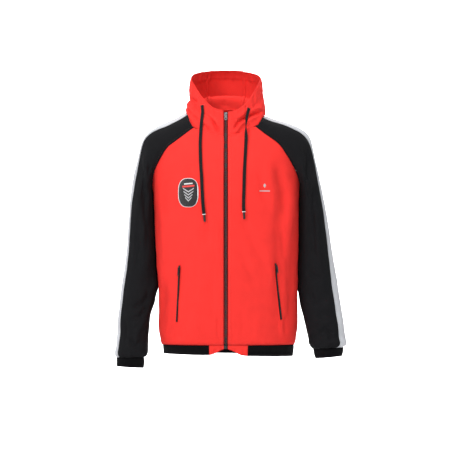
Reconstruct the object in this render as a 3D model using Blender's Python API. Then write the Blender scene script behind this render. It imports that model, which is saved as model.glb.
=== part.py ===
"""A zipped hoodie with raglan sleeves, filled out and hollow, open at the neck, hem and cuffs.

Metres, +Z up. +X is the wearer's left, -Y the front, and the origin lies between the shoulders at the neck.
Each cut piece is a thin wall: a grid of points on a smooth surface, and the same grid moved in by the cloth's
thickness. Heights on the body are given as `down`, the distance below the origin.
"""

import math
from bisect import bisect_right
from collections import namedtuple

import bmesh
import bpy
from mathutils import Matrix, Vector
from mathutils.bvhtree import BVHTree

# Cloth and seams
CLOTH = 0.0018
RIB_KNIT = 0.0026
CASING_CLOTH = 0.0034
SEAM_GAP = 0.0004
NECK_GAP = 0.0006
BODY_ROUNDNESS = 2.3
STEP = 0.004

# Heights
NECK_FRONT = 0.0725
NECK_BACK = -0.008
UNDERARM = 0.240
BODY_END = 0.6795
RIB_START = 0.6802
ZIP_TOP = 0.0035

# Zip
ZIP_CENTRE = -0.0005
ZIP_OPENING = 0.006
TAPE_WIDTH = 0.012
TAPE_INNER = 0.0051
TAPE_CLOTH = 0.0008
TAPE_CLEAR = 0.0006
CHAIN_WIDTH = 0.0094
CHAIN_CLOTH = 0.0024
CHAIN_DEPTH = 0.0014

# Sleeves
STRIPE_WIDTH = 0.064
BEZIER_HALF_RING = 4.0 / 3.0
BEZIER_CORNER = 0.58
CUFF_START = 19.0
CUFF_END = 21.0

# Colours
RED = (0.83, 0.035, 0.022)
BLACK = (0.017, 0.017, 0.019)
WHITE = (0.78, 0.79, 0.82)
GREY_METAL = (0.33, 0.34, 0.35)

BodyRing = namedtuple("BodyRing", "down half_right half_left front back")
BODY = [
    BodyRing(-0.012, 0.128, 0.128, 0.0900, 0.0880),
    BodyRing(0.000, 0.135, 0.135, 0.0930, 0.0930),
    BodyRing(0.020, 0.150, 0.150, 0.0960, 0.1010),
    BodyRing(0.046, 0.170, 0.170, 0.1005, 0.1080),
    BodyRing(0.068, 0.200, 0.199, 0.1070, 0.1125),
    BodyRing(0.089, 0.218, 0.214, 0.1125, 0.1165),
    BodyRing(0.119, 0.222, 0.220, 0.1200, 0.1210),
    BodyRing(0.147, 0.222, 0.220, 0.1260, 0.1235),
    BodyRing(0.173, 0.2215, 0.2195, 0.1300, 0.1250),
    BodyRing(0.207, 0.2185, 0.2175, 0.1335, 0.1255),
    BodyRing(0.240, 0.2135, 0.2150, 0.1360, 0.1245),
    BodyRing(0.300, 0.2090, 0.2135, 0.1375, 0.1210),
    BodyRing(0.404, 0.2054, 0.2118, 0.1360, 0.1165),
    BodyRing(0.520, 0.1975, 0.2098, 0.1300, 0.1145),
    BodyRing(0.600, 0.1972, 0.2094, 0.1250, 0.1145),
    BodyRing(0.650, 0.1976, 0.2092, 0.1215, 0.1130),
    BodyRing(0.668, 0.1966, 0.2079, 0.1195, 0.1112),
    BodyRing(0.676, 0.1936, 0.2050, 0.1170, 0.1090),
    BodyRing(0.6795, 0.1872, 0.2000, 0.1146, 0.1066),
]

HemRing = namedtuple("HemRing", "down half_right half_left front back")
HEM = [
    HemRing(0.680, 0.1852, 0.1990, 0.1142, 0.1062),
    HemRing(0.694, 0.1846, 0.1982, 0.1140, 0.1058),
    HemRing(0.715, 0.1832, 0.1957, 0.1128, 0.1046),
]

# A soft fold in the body: it runs from one place to another, `turn` in degrees from the wearer's left side
# over the front, and stands out (or, below zero, sinks in) by `relief`.
BodyFold = namedtuple("BodyFold", "start_turn start_down end_turn end_down half_width relief")
BODY_FOLDS = [
    BodyFold(47.0, 0.170, 41.0, 0.690, 0.016, -0.0070),
    BodyFold(36.0, 0.230, 33.0, 0.660, 0.014, 0.0050),
    BodyFold(63.0, 0.330, 48.0, 0.560, 0.018, 0.0040),
    BodyFold(150.0, 0.480, 146.0, 0.690, 0.016, -0.0060),
    BodyFold(128.0, 0.420, 120.0, 0.670, 0.020, 0.0040),
    BodyFold(140.0, 0.190, 128.0, 0.330, 0.016, -0.0040),
    BodyFold(12.0, 0.250, 24.0, 0.420, 0.014, -0.0045),
    BodyFold(168.0, 0.260, 158.0, 0.430, 0.014, -0.0040),
    BodyFold(232.0, 0.200, 238.0, 0.640, 0.020, -0.0060),
    BodyFold(252.0, 0.300, 256.0, 0.680, 0.018, 0.0045),
    BodyFold(292.0, 0.240, 286.0, 0.660, 0.020, 0.0045),
    BodyFold(312.0, 0.180, 306.0, 0.600, 0.018, -0.0060),
    BodyFold(338.0, 0.260, 328.0, 0.520, 0.016, -0.0040),
]

# The raglan seams, station by station from the neck to the underarm: angles are from the side of the body.
RaglanRow = namedtuple("RaglanRow", "station front_turn front_down back_turn back_down")
RAGLAN = {
    "right": [
        RaglanRow(0, 60.0, 0.0470, 58.0, 0.004),
        RaglanRow(1, 55.5, 0.0683, 52.0, 0.030),
        RaglanRow(2, 49.5, 0.0888, 46.5, 0.060),
        RaglanRow(3, 43.5, 0.1020, 43.5, 0.090),
        RaglanRow(4, 38.0, 0.1187, 36.5, 0.120),
        RaglanRow(5, 29.5, 0.1468, 28.0, 0.150),
        RaglanRow(6, 20.0, 0.1750, 20.0, 0.178),
        RaglanRow(7, 9.5, 0.2060, 9.5, 0.207),
        RaglanRow(8, 0.0, UNDERARM, 0.0, UNDERARM),
    ],
    "left": [
        RaglanRow(0, 62.5, 0.0440, 58.0, 0.004),
        RaglanRow(1, 58.5, 0.0635, 52.5, 0.030),
        RaglanRow(2, 53.5, 0.0790, 47.5, 0.059),
        RaglanRow(3, 46.5, 0.0982, 43.5, 0.089),
        RaglanRow(4, 41.0, 0.1204, 36.5, 0.120),
        RaglanRow(5, 34.0, 0.1430, 28.0, 0.150),
        RaglanRow(6, 24.5, 0.1720, 20.0, 0.177),
        RaglanRow(7, 11.5, 0.2040, 9.5, 0.206),
        RaglanRow(8, 0.0, UNDERARM, 0.0, UNDERARM),
    ],
}

# The inner line of each sleeve below the underarm: `out` is the distance from the centre plane.
ArmSeamRow = namedtuple("ArmSeamRow", "station out back down")
ARM_SEAM = {
    "right": [
        ArmSeamRow(8, 0.2135, 0.000, UNDERARM),
        ArmSeamRow(9, 0.2128, 0.017, 0.275),
        ArmSeamRow(10, 0.2095, 0.022, 0.325),
        ArmSeamRow(11, 0.2070, 0.022, 0.385),
        ArmSeamRow(12, 0.2035, 0.020, 0.450),
        ArmSeamRow(13, 0.2010, 0.014, 0.505),
        ArmSeamRow(14, 0.2085, 0.004, 0.557),
        ArmSeamRow(15, 0.2200, -0.004, 0.595),
        ArmSeamRow(16, 0.2240, -0.009, 0.632),
        ArmSeamRow(17, 0.2272, -0.012, 0.671),
        ArmSeamRow(18, 0.2297, -0.013, 0.7060),
        ArmSeamRow(19, 0.2385, -0.013, 0.7180),
        ArmSeamRow(20, 0.2392, -0.013, 0.7340),
        ArmSeamRow(21, 0.2411, -0.014, 0.7490),
    ],
    "left": [
        ArmSeamRow(8, 0.2150, 0.000, UNDERARM),
        ArmSeamRow(9, 0.2150, 0.017, 0.285),
        ArmSeamRow(10, 0.2132, 0.022, 0.345),
        ArmSeamRow(11, 0.2126, 0.022, 0.405),
        ArmSeamRow(12, 0.2114, 0.020, 0.465),
        ArmSeamRow(13, 0.2112, 0.014, 0.520),
        ArmSeamRow(14, 0.2165, 0.004, 0.562),
        ArmSeamRow(15, 0.2265, -0.004, 0.597),
        ArmSeamRow(16, 0.2332, -0.009, 0.630),
        ArmSeamRow(17, 0.2392, -0.012, 0.658),
        ArmSeamRow(18, 0.2457, -0.013, 0.6820),
        ArmSeamRow(19, 0.2540, -0.013, 0.6925),
        ArmSeamRow(20, 0.2570, -0.013, 0.7080),
        ArmSeamRow(21, 0.2614, -0.014, 0.7215),
    ],
}

# The outer line of each sleeve, along the middle of the stripe. `depth` is how far the sleeve bellies to the
# front and back of it, `fold` goes from a shoulder's quarter curve (0) to an arm's half ring (1), and the
# stripe is turned `forward`.
ArmTopRow = namedtuple("ArmTopRow", "station out back down depth fold forward")
ARM_TOP = {
    "right": [
        ArmTopRow(0, 0.1172, 0.000, 0.0000, 0.070, 0.00, 0.0300),
        ArmTopRow(1, 0.1480, 0.000, 0.0185, 0.070, 0.00, 0.0295),
        ArmTopRow(2, 0.1840, 0.000, 0.0346, 0.070, 0.00, 0.0270),
        ArmTopRow(3, 0.2130, 0.002, 0.0490, 0.070, 0.05, 0.0180),
        ArmTopRow(4, 0.2345, 0.003, 0.0665, 0.070, 0.12, 0.0080),
        ArmTopRow(5, 0.2485, 0.005, 0.0905, 0.070, 0.26, 0.0035),
        ArmTopRow(6, 0.2575, 0.008, 0.1270, 0.070, 0.52, 0.0100),
        ArmTopRow(7, 0.2675, 0.011, 0.1730, 0.071, 0.82, 0.0220),
        ArmTopRow(8, 0.2757, 0.014, 0.2159, 0.072, 1.00, 0.0250),
        ArmTopRow(9, 0.2812, 0.018, 0.2620, 0.072, 1.00, 0.0215),
        ArmTopRow(10, 0.2862, 0.022, 0.3150, 0.070, 1.00, 0.0175),
        ArmTopRow(11, 0.2905, 0.022, 0.3780, 0.065, 1.00, 0.0125),
        ArmTopRow(12, 0.2965, 0.020, 0.4480, 0.059, 1.00, 0.0075),
        ArmTopRow(13, 0.3058, 0.014, 0.5080, 0.054, 1.00, 0.0030),
        ArmTopRow(14, 0.3122, 0.004, 0.5600, 0.050, 1.00, 0.0005),
        ArmTopRow(15, 0.3158, -0.004, 0.6000, 0.048, 1.00, 0.0000),
        ArmTopRow(16, 0.3188, -0.009, 0.6370, 0.047, 1.00, 0.0000),
        ArmTopRow(17, 0.3215, -0.012, 0.6760, 0.046, 1.00, -0.0005),
        ArmTopRow(18, 0.3243, -0.013, 0.7070, 0.043, 1.00, -0.0020),
        ArmTopRow(19, 0.3205, -0.013, 0.7180, 0.037, 1.00, -0.0020),
        ArmTopRow(20, 0.3208, -0.013, 0.7320, 0.036, 1.00, -0.0020),
        ArmTopRow(21, 0.3191, -0.014, 0.7445, 0.034, 1.00, -0.0020),
    ],
    "left": [
        ArmTopRow(0, 0.1140, 0.000, 0.0110, 0.070, 0.00, 0.0300),
        ArmTopRow(1, 0.1450, 0.000, 0.0222, 0.070, 0.00, 0.0300),
        ArmTopRow(2, 0.1790, 0.000, 0.0312, 0.070, 0.00, 0.0290),
        ArmTopRow(3, 0.2095, 0.002, 0.0435, 0.070, 0.05, 0.0265),
        ArmTopRow(4, 0.2325, 0.003, 0.0580, 0.070, 0.12, 0.0195),
        ArmTopRow(5, 0.2495, 0.005, 0.0820, 0.070, 0.26, 0.0145),
        ArmTopRow(6, 0.2585, 0.008, 0.1190, 0.070, 0.52, 0.0215),
        ArmTopRow(7, 0.2680, 0.011, 0.1670, 0.071, 0.82, 0.0275),
        ArmTopRow(8, 0.2785, 0.014, 0.2150, 0.072, 1.00, 0.0275),
        ArmTopRow(9, 0.2895, 0.018, 0.2680, 0.072, 1.00, 0.0255),
        ArmTopRow(10, 0.3008, 0.022, 0.3300, 0.070, 1.00, 0.0250),
        ArmTopRow(11, 0.3098, 0.022, 0.3900, 0.065, 1.00, 0.0243),
        ArmTopRow(12, 0.3203, 0.020, 0.4550, 0.058, 1.00, 0.0216),
        ArmTopRow(13, 0.3296, 0.014, 0.5150, 0.053, 1.00, 0.0190),
        ArmTopRow(14, 0.3368, 0.004, 0.5600, 0.050, 1.00, 0.0167),
        ArmTopRow(15, 0.3432, -0.004, 0.6000, 0.048, 1.00, 0.0157),
        ArmTopRow(16, 0.3472, -0.009, 0.6330, 0.047, 1.00, 0.0155),
        ArmTopRow(17, 0.3506, -0.012, 0.6600, 0.045, 1.00, 0.0142),
        ArmTopRow(18, 0.3515, -0.013, 0.6790, 0.043, 1.00, 0.0135),
        ArmTopRow(19, 0.3440, -0.013, 0.6880, 0.037, 1.00, 0.0135),
        ArmTopRow(20, 0.3432, -0.013, 0.7020, 0.036, 1.00, 0.0135),
        ArmTopRow(21, 0.3393, -0.014, 0.7145, 0.034, 1.00, 0.0135),
    ],
}

# A fold across or along a sleeve: `across` is 0 at the inner seam in front, 1 at the outer line, 2 behind.
SleeveFold = namedtuple("SleeveFold", "start_across start_station end_across end_station half_width relief")
SLEEVE_FOLDS = {
    "right": [
        SleeveFold(0.55, 3.5, 0.70, 8.5, 0.010, -0.0045),
        SleeveFold(0.30, 6.0, 0.45, 10.0, 0.010, -0.0045),
        SleeveFold(0.15, 12.6, 0.75, 13.4, 0.008, -0.0050),
        SleeveFold(0.20, 14.2, 0.95, 13.8, 0.008, -0.0045),
        SleeveFold(0.15, 16.6, 0.95, 16.2, 0.009, -0.0035),
        SleeveFold(0.25, 10.5, 0.50, 13.0, 0.012, 0.0035),
        SleeveFold(1.35, 4.5, 1.45, 9.5, 0.011, -0.0050),
        SleeveFold(1.15, 13.2, 1.85, 12.4, 0.009, -0.0050),
        SleeveFold(1.20, 16.4, 1.80, 16.8, 0.009, -0.0035),
    ],
    "left": [
        SleeveFold(0.52, 4.6, 0.60, 8.8, 0.009, -0.0055),
        SleeveFold(0.72, 5.0, 0.80, 8.0, 0.008, 0.0035),
        SleeveFold(0.28, 7.0, 0.42, 11.5, 0.010, -0.0045),
        SleeveFold(0.15, 12.8, 0.70, 13.6, 0.008, -0.0045),
        SleeveFold(0.20, 15.2, 0.90, 14.6, 0.009, -0.0040),
        SleeveFold(0.15, 17.0, 0.95, 16.8, 0.008, -0.0035),
        SleeveFold(1.40, 4.5, 1.50, 9.0, 0.011, -0.0050),
        SleeveFold(1.20, 13.4, 1.80, 12.6, 0.009, -0.0050),
        SleeveFold(1.15, 16.6, 1.85, 16.2, 0.009, -0.0035),
    ],
}

# The hood, ring by ring from the neck seam to its edge. Behind the neck it rises, folds over, hangs down the
# back as a bag and comes up again outside. `fall` shapes how a ring drops from the sides to the back.
HoodRing = namedtuple("HoodRing", "row half_right half_left front back front_up side_up back_up fall")
HOOD = [
    HoodRing(0, 0.1172, 0.1140, 0.1080, 0.090, -0.0725, 0.000, 0.008, 0.9),
    HoodRing(1, 0.1195, 0.1160, 0.1084, 0.086, -0.0680, 0.005, 0.030, 0.9),
    HoodRing(2, 0.1165, 0.1155, 0.1088, 0.089, -0.0640, 0.011, 0.046, 1.0),
    HoodRing(3, 0.1150, 0.1150, 0.1090, 0.104, -0.0600, 0.017, 0.049, 1.1),
    HoodRing(4, 0.1155, 0.1145, 0.1090, 0.119, -0.0560, 0.023, 0.022, 1.3),
    HoodRing(5, 0.1120, 0.1135, 0.1088, 0.130, -0.0520, 0.029, -0.035, 1.6),
    HoodRing(6, 0.1065, 0.1125, 0.1086, 0.141, -0.0480, 0.035, -0.098, 1.7),
    HoodRing(7, 0.1050, 0.1112, 0.1083, 0.158, -0.0440, 0.041, -0.136, 1.7),
    HoodRing(8, 0.1080, 0.1100, 0.1080, 0.180, -0.0400, 0.047, -0.108, 1.6),
    HoodRing(9, 0.1086, 0.1090, 0.1078, 0.194, -0.0360, 0.053, -0.045, 1.5),
    HoodRing(10, 0.1087, 0.1080, 0.1075, 0.192, -0.0320, 0.059, 0.030, 1.3),
    HoodRing(11, 0.1094, 0.1084, 0.1072, 0.176, -0.0265, 0.066, 0.100, 0.9),
    HoodRing(12, 0.1056, 0.1030, 0.1065, 0.158, -0.0030, 0.094, 0.1290, 0.8),
]
HOOD_ROUNDNESS = 2.3
HOOD_MIDDLE = 0.010
NECK_BLEND_ROWS = 8.0

# The drawstrings' routes, by hand, from the slit in the hood's edge to the tip: x, y, z, and the way the flat
# side faces in degrees from straight ahead. The left one makes half a twist below its slit.
CordPoint = namedtuple("CordPoint", "stage x y z face")
CORD_WIDTH = 0.010
CORD_THICKNESS = 0.0022
TIP_LENGTH = 0.0205
TIP_WIDTH = 0.0066
TIP_THICKNESS = 0.0042
CORDS = {
    "right": [
        (-0.0697, -0.0878, 0.0164, -33),
        (-0.0686, -0.0905, 0.0060, -33),
        (-0.0680, -0.0916, -0.0020, -30),
        (-0.0690, -0.0930, -0.0130, -26),
        (-0.0703, -0.0941, -0.0234, -22),
        (-0.0715, -0.0967, -0.0360, -18),
        (-0.0722, -0.0998, -0.0469, -14),
        (-0.0736, -0.1070, -0.0700, -10),
        (-0.0746, -0.1146, -0.0938, -9),
        (-0.0741, -0.1217, -0.1231, -8),
        (-0.0728, -0.1287, -0.1597, -8),
        (-0.0705, -0.1333, -0.1963, -7),
        (-0.0683, -0.1368, -0.2432, -6),
        (-0.0662, -0.1382, -0.2760, -5),
        (-0.0634, -0.1386, -0.3015, -5),
    ],
    "left": [
        (0.0662, -0.0902, 0.0079, 32),
        (0.0645, -0.0928, 0.0000, 32),
        (0.0618, -0.0962, -0.0110, 36),
        (0.0596, -0.1013, -0.0240, 50),
        (0.0583, -0.1053, -0.0365, 72),
        (0.0577, -0.1078, -0.0475, 96),
        (0.0578, -0.1102, -0.0590, 128),
        (0.0583, -0.1122, -0.0720, 160),
        (0.0580, -0.1150, -0.0870, 182),
        (0.0573, -0.1180, -0.1010, 188),
        (0.0563, -0.1224, -0.1200, 188),
        (0.0548, -0.1277, -0.1480, 187),
        (0.0536, -0.1320, -0.1691, 187),
        (0.0527, -0.1352, -0.1980, 186),
        (0.0519, -0.1378, -0.2285, 186),
        (0.0510, -0.1392, -0.2578, 186),
        (0.0508, -0.1399, -0.2780, 186),
        (0.0517, -0.1400, -0.2940, 186),
    ],
}


def read(rows, name, at):
    """The named column where the table's first column reads `at`, on a smooth curve through the rows."""
    keys = [row[0] for row in rows]
    values = [getattr(row, name) for row in rows]
    last = len(rows) - 1
    right = min(max(bisect_right(keys, at), 1), last)
    left = right - 1
    span = keys[right] - keys[left]

    def slope(index):
        before, after = max(index - 1, 0), min(index + 1, last)
        return (values[after] - values[before]) / (keys[after] - keys[before])

    t = min(max((at - keys[left]) / span, 0.0), 1.0)
    t2, t3 = t * t, t * t * t
    return (values[left] * (2 * t3 - 3 * t2 + 1) + slope(left) * span * (t3 - 2 * t2 + t)
            + values[right] * (3 * t2 - 2 * t3) + slope(right) * span * (t3 - t2))


def mix(a, b, t):
    return a + (b - a) * t


def signed_power(value, power):
    return math.copysign(abs(value) ** power, value)


def fold_weight(place, start, end, half_width, scale):
    """How strongly a fold from start to end acts at a place: 1 on its line, fading to its sides and ends."""
    run = (end[1] - start[1]) * scale[1]
    lean = (end[0] - start[0]) * scale[0]
    length = math.hypot(run, lean)
    across = (place[0] - start[0]) * scale[0]
    down = (place[1] - start[1]) * scale[1]
    along = (across * lean + down * run) / (length * length)
    if not 0.0 < along < 1.0:
        return 0.0
    aside = (across * run - down * lean) / length
    return math.exp(-(aside / half_width) ** 2) * math.sin(math.pi * along) ** 0.6


# Surfaces: each gives the outer face of the cloth

def body_point(turn, down, rings=BODY):
    """A point on the body: `turn` in degrees from the wearer's left side (0) over the front (90)."""
    angle = math.radians(turn)
    power = 2.0 / BODY_ROUNDNESS
    across = signed_power(math.cos(angle), power)
    ahead = signed_power(math.sin(angle), power)
    half = read(rings, "half_left" if across > 0 else "half_right", down)
    depth = read(rings, "front" if ahead > 0 else "back", down)
    point = Vector((half * across, -depth * ahead, -down))
    if rings is BODY:
        point += body_relief(turn % 360.0, down) * Vector((across, -ahead, 0.0)).normalized()
    return point


def body_relief(turn, down):
    metres_a_degree = 0.0034
    return sum(fold.relief * fold_weight((turn, down), (fold.start_turn, fold.start_down),
                                         (fold.end_turn, fold.end_down), fold.half_width,
                                         (metres_a_degree, 1.0)) for fold in BODY_FOLDS)


def side_turn(side, degrees, behind=False):
    """An angle from one side of the body, as a turn from the wearer's left side over the front."""
    if behind:
        return 360.0 - degrees if side == "left" else 180.0 + degrees
    return degrees if side == "left" else 180.0 - degrees


def raglan_point(side, station, behind):
    rows = RAGLAN[side]
    part = "back" if behind else "front"
    turn = side_turn(side, max(read(rows, part + "_turn", station), 0.0), behind)
    return body_point(turn, read(rows, part + "_down", station))


def sleeve_ends(side, station, behind):
    """Where a sleeve's front or back half starts, at its seam."""
    if station <= 8.0:
        return raglan_point(side, station, behind)
    rows = ARM_SEAM[side]
    out = read(rows, "out", station) * (1 if side == "left" else -1)
    return Vector((out, read(rows, "back", station), -read(rows, "down", station)))


def sleeve_curve(side, across, station):
    """A sleeve's ring at a station, as two Bezier halves that meet on its outer line at across = 1."""
    behind = across > 1.0
    rows = ARM_TOP[side]
    out = read(rows, "out", station) * (1 if side == "left" else -1)
    top = Vector((out, read(rows, "back", station), -read(rows, "down", station)))
    seam = sleeve_ends(side, station, behind)
    depth = Vector((0.0, BEZIER_HALF_RING * read(rows, "depth", station) * (1 if behind else -1), 0.0))
    fold = min(max(read(rows, "fold", station), 0.0), 1.0)
    corner = Vector((top.x, seam.y, top.z))
    first = seam.lerp(seam + (corner - seam) * BEZIER_CORNER, 1.0 - fold) + depth * fold
    second = top.lerp(top + (corner - top) * BEZIER_CORNER, 1.0 - fold) + depth * fold
    t = 2.0 - across if behind else across
    s = 1.0 - t
    return s ** 3 * seam + 3 * s * s * t * first + 3 * s * t * t * second + t ** 3 * top


def sleeve_point(side, across, station):
    point = sleeve_curve(side, across, station)
    relief = sleeve_relief(side, across, station)
    if relief:
        point += relief * sleeve_normal(side, across, station, sleeve_curve)
    return point


def sleeve_relief(side, across, station):
    metres_across, metres_a_station = 0.14, 0.045
    return sum(fold.relief * fold_weight((across, station), (fold.start_across, fold.start_station),
                                         (fold.end_across, fold.end_station), fold.half_width,
                                         (metres_across, metres_a_station)) for fold in SLEEVE_FOLDS[side])


def surface_normal(surface, u, v, u_limits, v_limits, sign):
    """The outward normal of surface(u, v), from differences that stay within its limits."""
    step = STEP
    u0, u1 = max(u - step, u_limits[0]), min(u + step, u_limits[1])
    v0, v1 = max(v - step, v_limits[0]), min(v + step, v_limits[1])
    along_u = surface(u1, v) - surface(u0, v)
    along_v = surface(u, v1) - surface(u, v0)
    return along_u.cross(along_v).normalized() * sign


def body_normal(turn, down):
    def surface(u, v):
        return body_point(u * 100.0, v)
    return surface_normal(surface, turn / 100.0, down, (-9.0, 9.0), (-0.011, 0.679), 1)


def sleeve_normal(side, across, station, curve=None):
    curve = curve or sleeve_point

    def surface(u, v):
        return curve(side, u, v * 10.0)
    half = (0.0, 0.9999) if across < 1.0 else (1.0001, 2.0)
    across = min(max(across, half[0]), half[1])
    return surface_normal(surface, across, station / 10.0, half, (0.0, 2.1), -1 if side == "left" else 1)


def raglan_normal(side, station, behind):
    """The mitred normal where the sleeve and the body meet, or below the armpit the sleeve's two halves."""
    if station > 8.0:
        return (sleeve_normal(side, 0.001, station) + sleeve_normal(side, 1.999, station)).normalized()
    if station == 8.0:
        return Vector((0.0, 0.0, -1.0))
    part = "back" if behind else "front"
    rows = RAGLAN[side]
    turn = side_turn(side, max(read(rows, part + "_turn", station), 0.0), behind)
    body = body_normal(turn, read(rows, part + "_down", station))
    sleeve = sleeve_normal(side, 1.999 if behind else 0.001, station)
    together = body + sleeve + Vector((0.0, 0.0, -0.9 * max(station - 5.0, 0.0) / 3.0))
    return together.normalized()


# The hood's ring runs from the wearer's right zip edge (0) round the back (0.5) to the left zip edge (1)

def hood_ring(round_, row):
    angle = math.tau * round_
    power = 2.0 / HOOD_ROUNDNESS
    across = -signed_power(math.sin(angle), power)
    ahead = signed_power(math.cos(angle), power)
    half = read(HOOD, "half_left" if across > 0 else "half_right", row)
    side_up = read(HOOD, "side_up", row)
    if ahead > 0:
        y = mix(HOOD_MIDDLE, -read(HOOD, "front", row), ahead)
        z = mix(side_up, read(HOOD, "front_up", row), math.cos(angle) ** 2)
    else:
        y = mix(HOOD_MIDDLE, read(HOOD, "back", row), -ahead)
        z = mix(side_up, read(HOOD, "back_up", row), abs(math.cos(angle)) ** read(HOOD, "fall", row))
    return Vector((half * across, y, z))


# The neckline, in columns of the hood's ring: right front, right sleeve, back, left sleeve, left front
NeckPiece = namedtuple("NeckPiece", "start end piece side")
NECK_PIECES = [
    NeckPiece(0, 4, "front", "right"),
    NeckPiece(4, 11, "sleeve", "right"),
    NeckPiece(11, 20, "back", "both"),
    NeckPiece(20, 27, "sleeve", "left"),
    NeckPiece(27, 31, "front", "left"),
]
HOOD_SIDE_COLUMNS = 13
HOOD_CENTRE_COLUMNS = 5
HOOD_COLUMNS = 2 * HOOD_SIDE_COLUMNS + HOOD_CENTRE_COLUMNS


def neck_point(column):
    """The seam between the hood and the garment, at a column of the hood's ring."""
    part = next(row for row in NECK_PIECES if column <= row.end)
    t = (column - part.start) / (part.end - part.start)
    if part.piece == "front":
        return front_point(part.side, t if part.side == "right" else 1.0 - t, 0.0)
    if part.piece == "sleeve":
        return sleeve_point(part.side, 2.0 * t if part.side == "right" else 2.0 * (1.0 - t), 0.0)
    return back_point(t, 0.0)


def neck_line(piece, side, t):
    """The same seam as the hood's own straight edges draw it, so that the pieces below it follow them."""
    part = next(row for row in NECK_PIECES if row.piece == piece and row.side == side)
    t = 1.0 - t if side == "left" else t
    column = mix(part.start, part.end, t)
    before = min(int(column + 1e-6), HOOD_COLUMNS - 1)
    return neck_point(before).lerp(neck_point(before + 1), column - before)


def neck_normal(point):
    """One direction shared by all that meets at the neck seam: outward, and a little up."""
    outward = Vector((point.x, point.y - 0.3 * HOOD_MIDDLE, 0.0)).normalized()
    return (outward + Vector((0.0, 0.0, 0.45))).normalized()


def hood_point(column, row):
    """A place on the hood: columns run from the right zip edge round the back to the left one."""
    edge = 0.0078
    round_ = mix(edge, 1.0 - edge, column / HOOD_COLUMNS)
    point = hood_ring(round_, row)
    at_zip = column in (0, HOOD_COLUMNS)
    if at_zip:
        point.x = ZIP_CENTRE + (ZIP_OPENING if column else -ZIP_OPENING)
    if row < NECK_BLEND_ROWS:
        fade = 1.0 - row / NECK_BLEND_ROWS
        base = hood_ring(round_, 0.0)
        if at_zip:
            base.x = point.x
        point += (neck_point(column) - base) * fade
    return point


def hood_normal(column, row):
    if row == 0.0:
        return neck_normal(neck_point(column))
    return surface_normal(lambda u, v: hood_point(u * 10.0, v * 10.0), column / 10.0, row / 10.0,
                          (0.0001, HOOD_COLUMNS / 10.0 - 0.0001), (0.0001, 1.2), -1)


def hood_thickness(column, row):
    """Single cloth, thicker in the casing at the hood's edge, which ends short of the zip."""
    near_zip = min(column, HOOD_COLUMNS - column)
    return mix(CLOTH, CASING_CLOTH, min(max(near_zip - 1.0, 0.0), 1.0)) if row > 10.99 else CLOTH


# Panels of the body. `row` runs over the raglan stations 0 to 8, then on down the side seam to PANEL_ROWS.
PANEL_ROWS = 18.0
FRONT_UNDERARM = 0.262
BACK_UNDERARM = 0.215


def outer_seam(side, row, behind):
    """Turn and height of a body panel's outer edge: the raglan seam, then the side seam."""
    if row <= 8.0:
        rows = RAGLAN[side]
        part = "back" if behind else "front"
        turn = max(read(rows, part + "_turn", row), 0.0)
        return side_turn(side, turn, behind), read(rows, part + "_down", row)
    return side_turn(side, 0.0, behind), mix(UNDERARM, BODY_END, (row - 8.0) / (PANEL_ROWS - 8.0))


def front_place(side, u, row):
    """Turn and height on the body for a place on a front panel: u runs from the zip to the outer seam."""
    turn, down = outer_seam(side, row, False)
    if row <= 8.0:
        zip_down = mix(NECK_FRONT, FRONT_UNDERARM, row / 8.0)
    else:
        zip_down = mix(FRONT_UNDERARM, BODY_END, (row - 8.0) / (PANEL_ROWS - 8.0))
    return mix(90.0, turn, u), mix(zip_down, down, u)


def front_point(side, u, row):
    turn, down = front_place(side, u, row)
    point = body_point(turn, down)
    if u == 0.0:
        point.x = ZIP_CENTRE + (ZIP_OPENING if side == "left" else -ZIP_OPENING)
    return point


def back_place(u, row):
    """Turn and height for a place on the back: u runs from the wearer's right to the left."""
    right_turn, right_down = outer_seam("right", row, True)
    left_turn, left_down = outer_seam("left", row, True)
    if row <= 8.0:
        middle = mix(NECK_BACK, BACK_UNDERARM, row / 8.0)
    else:
        middle = mix(BACK_UNDERARM, BODY_END, (row - 8.0) / (PANEL_ROWS - 8.0))
    edge = mix(right_down, left_down, u)
    return mix(right_turn, left_turn, u), mix(middle, edge, (2.0 * u - 1.0) ** 2)


def back_point(u, row):
    return body_point(*back_place(u, row))


def seam_normal(turn, down, side, row, at_seam, behind):
    """The body's own normal, shared at the neck and raglan seams with what meets it there."""
    if row == 0.0:
        return neck_normal(body_point(turn, down))
    if at_seam and row <= 8.0:
        return raglan_normal(side, row, behind)
    return body_normal(turn, down)


# Building

def finish(name, colour, roughness, metallic=0.0):
    material = bpy.data.materials.get(name) or bpy.data.materials.new(name)
    material.use_nodes = True
    shader = material.node_tree.nodes["Principled BSDF"]
    shader.inputs["Base Color"].default_value = (*colour, 1.0)
    shader.inputs["Roughness"].default_value = roughness
    shader.inputs["Metallic"].default_value = metallic
    return material


def add_object(name, mesh, material):
    obj = bpy.data.objects.new(name, mesh)
    bpy.data.collections["hoodie"].objects.link(obj)
    mesh.materials.append(material)
    return obj


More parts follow.
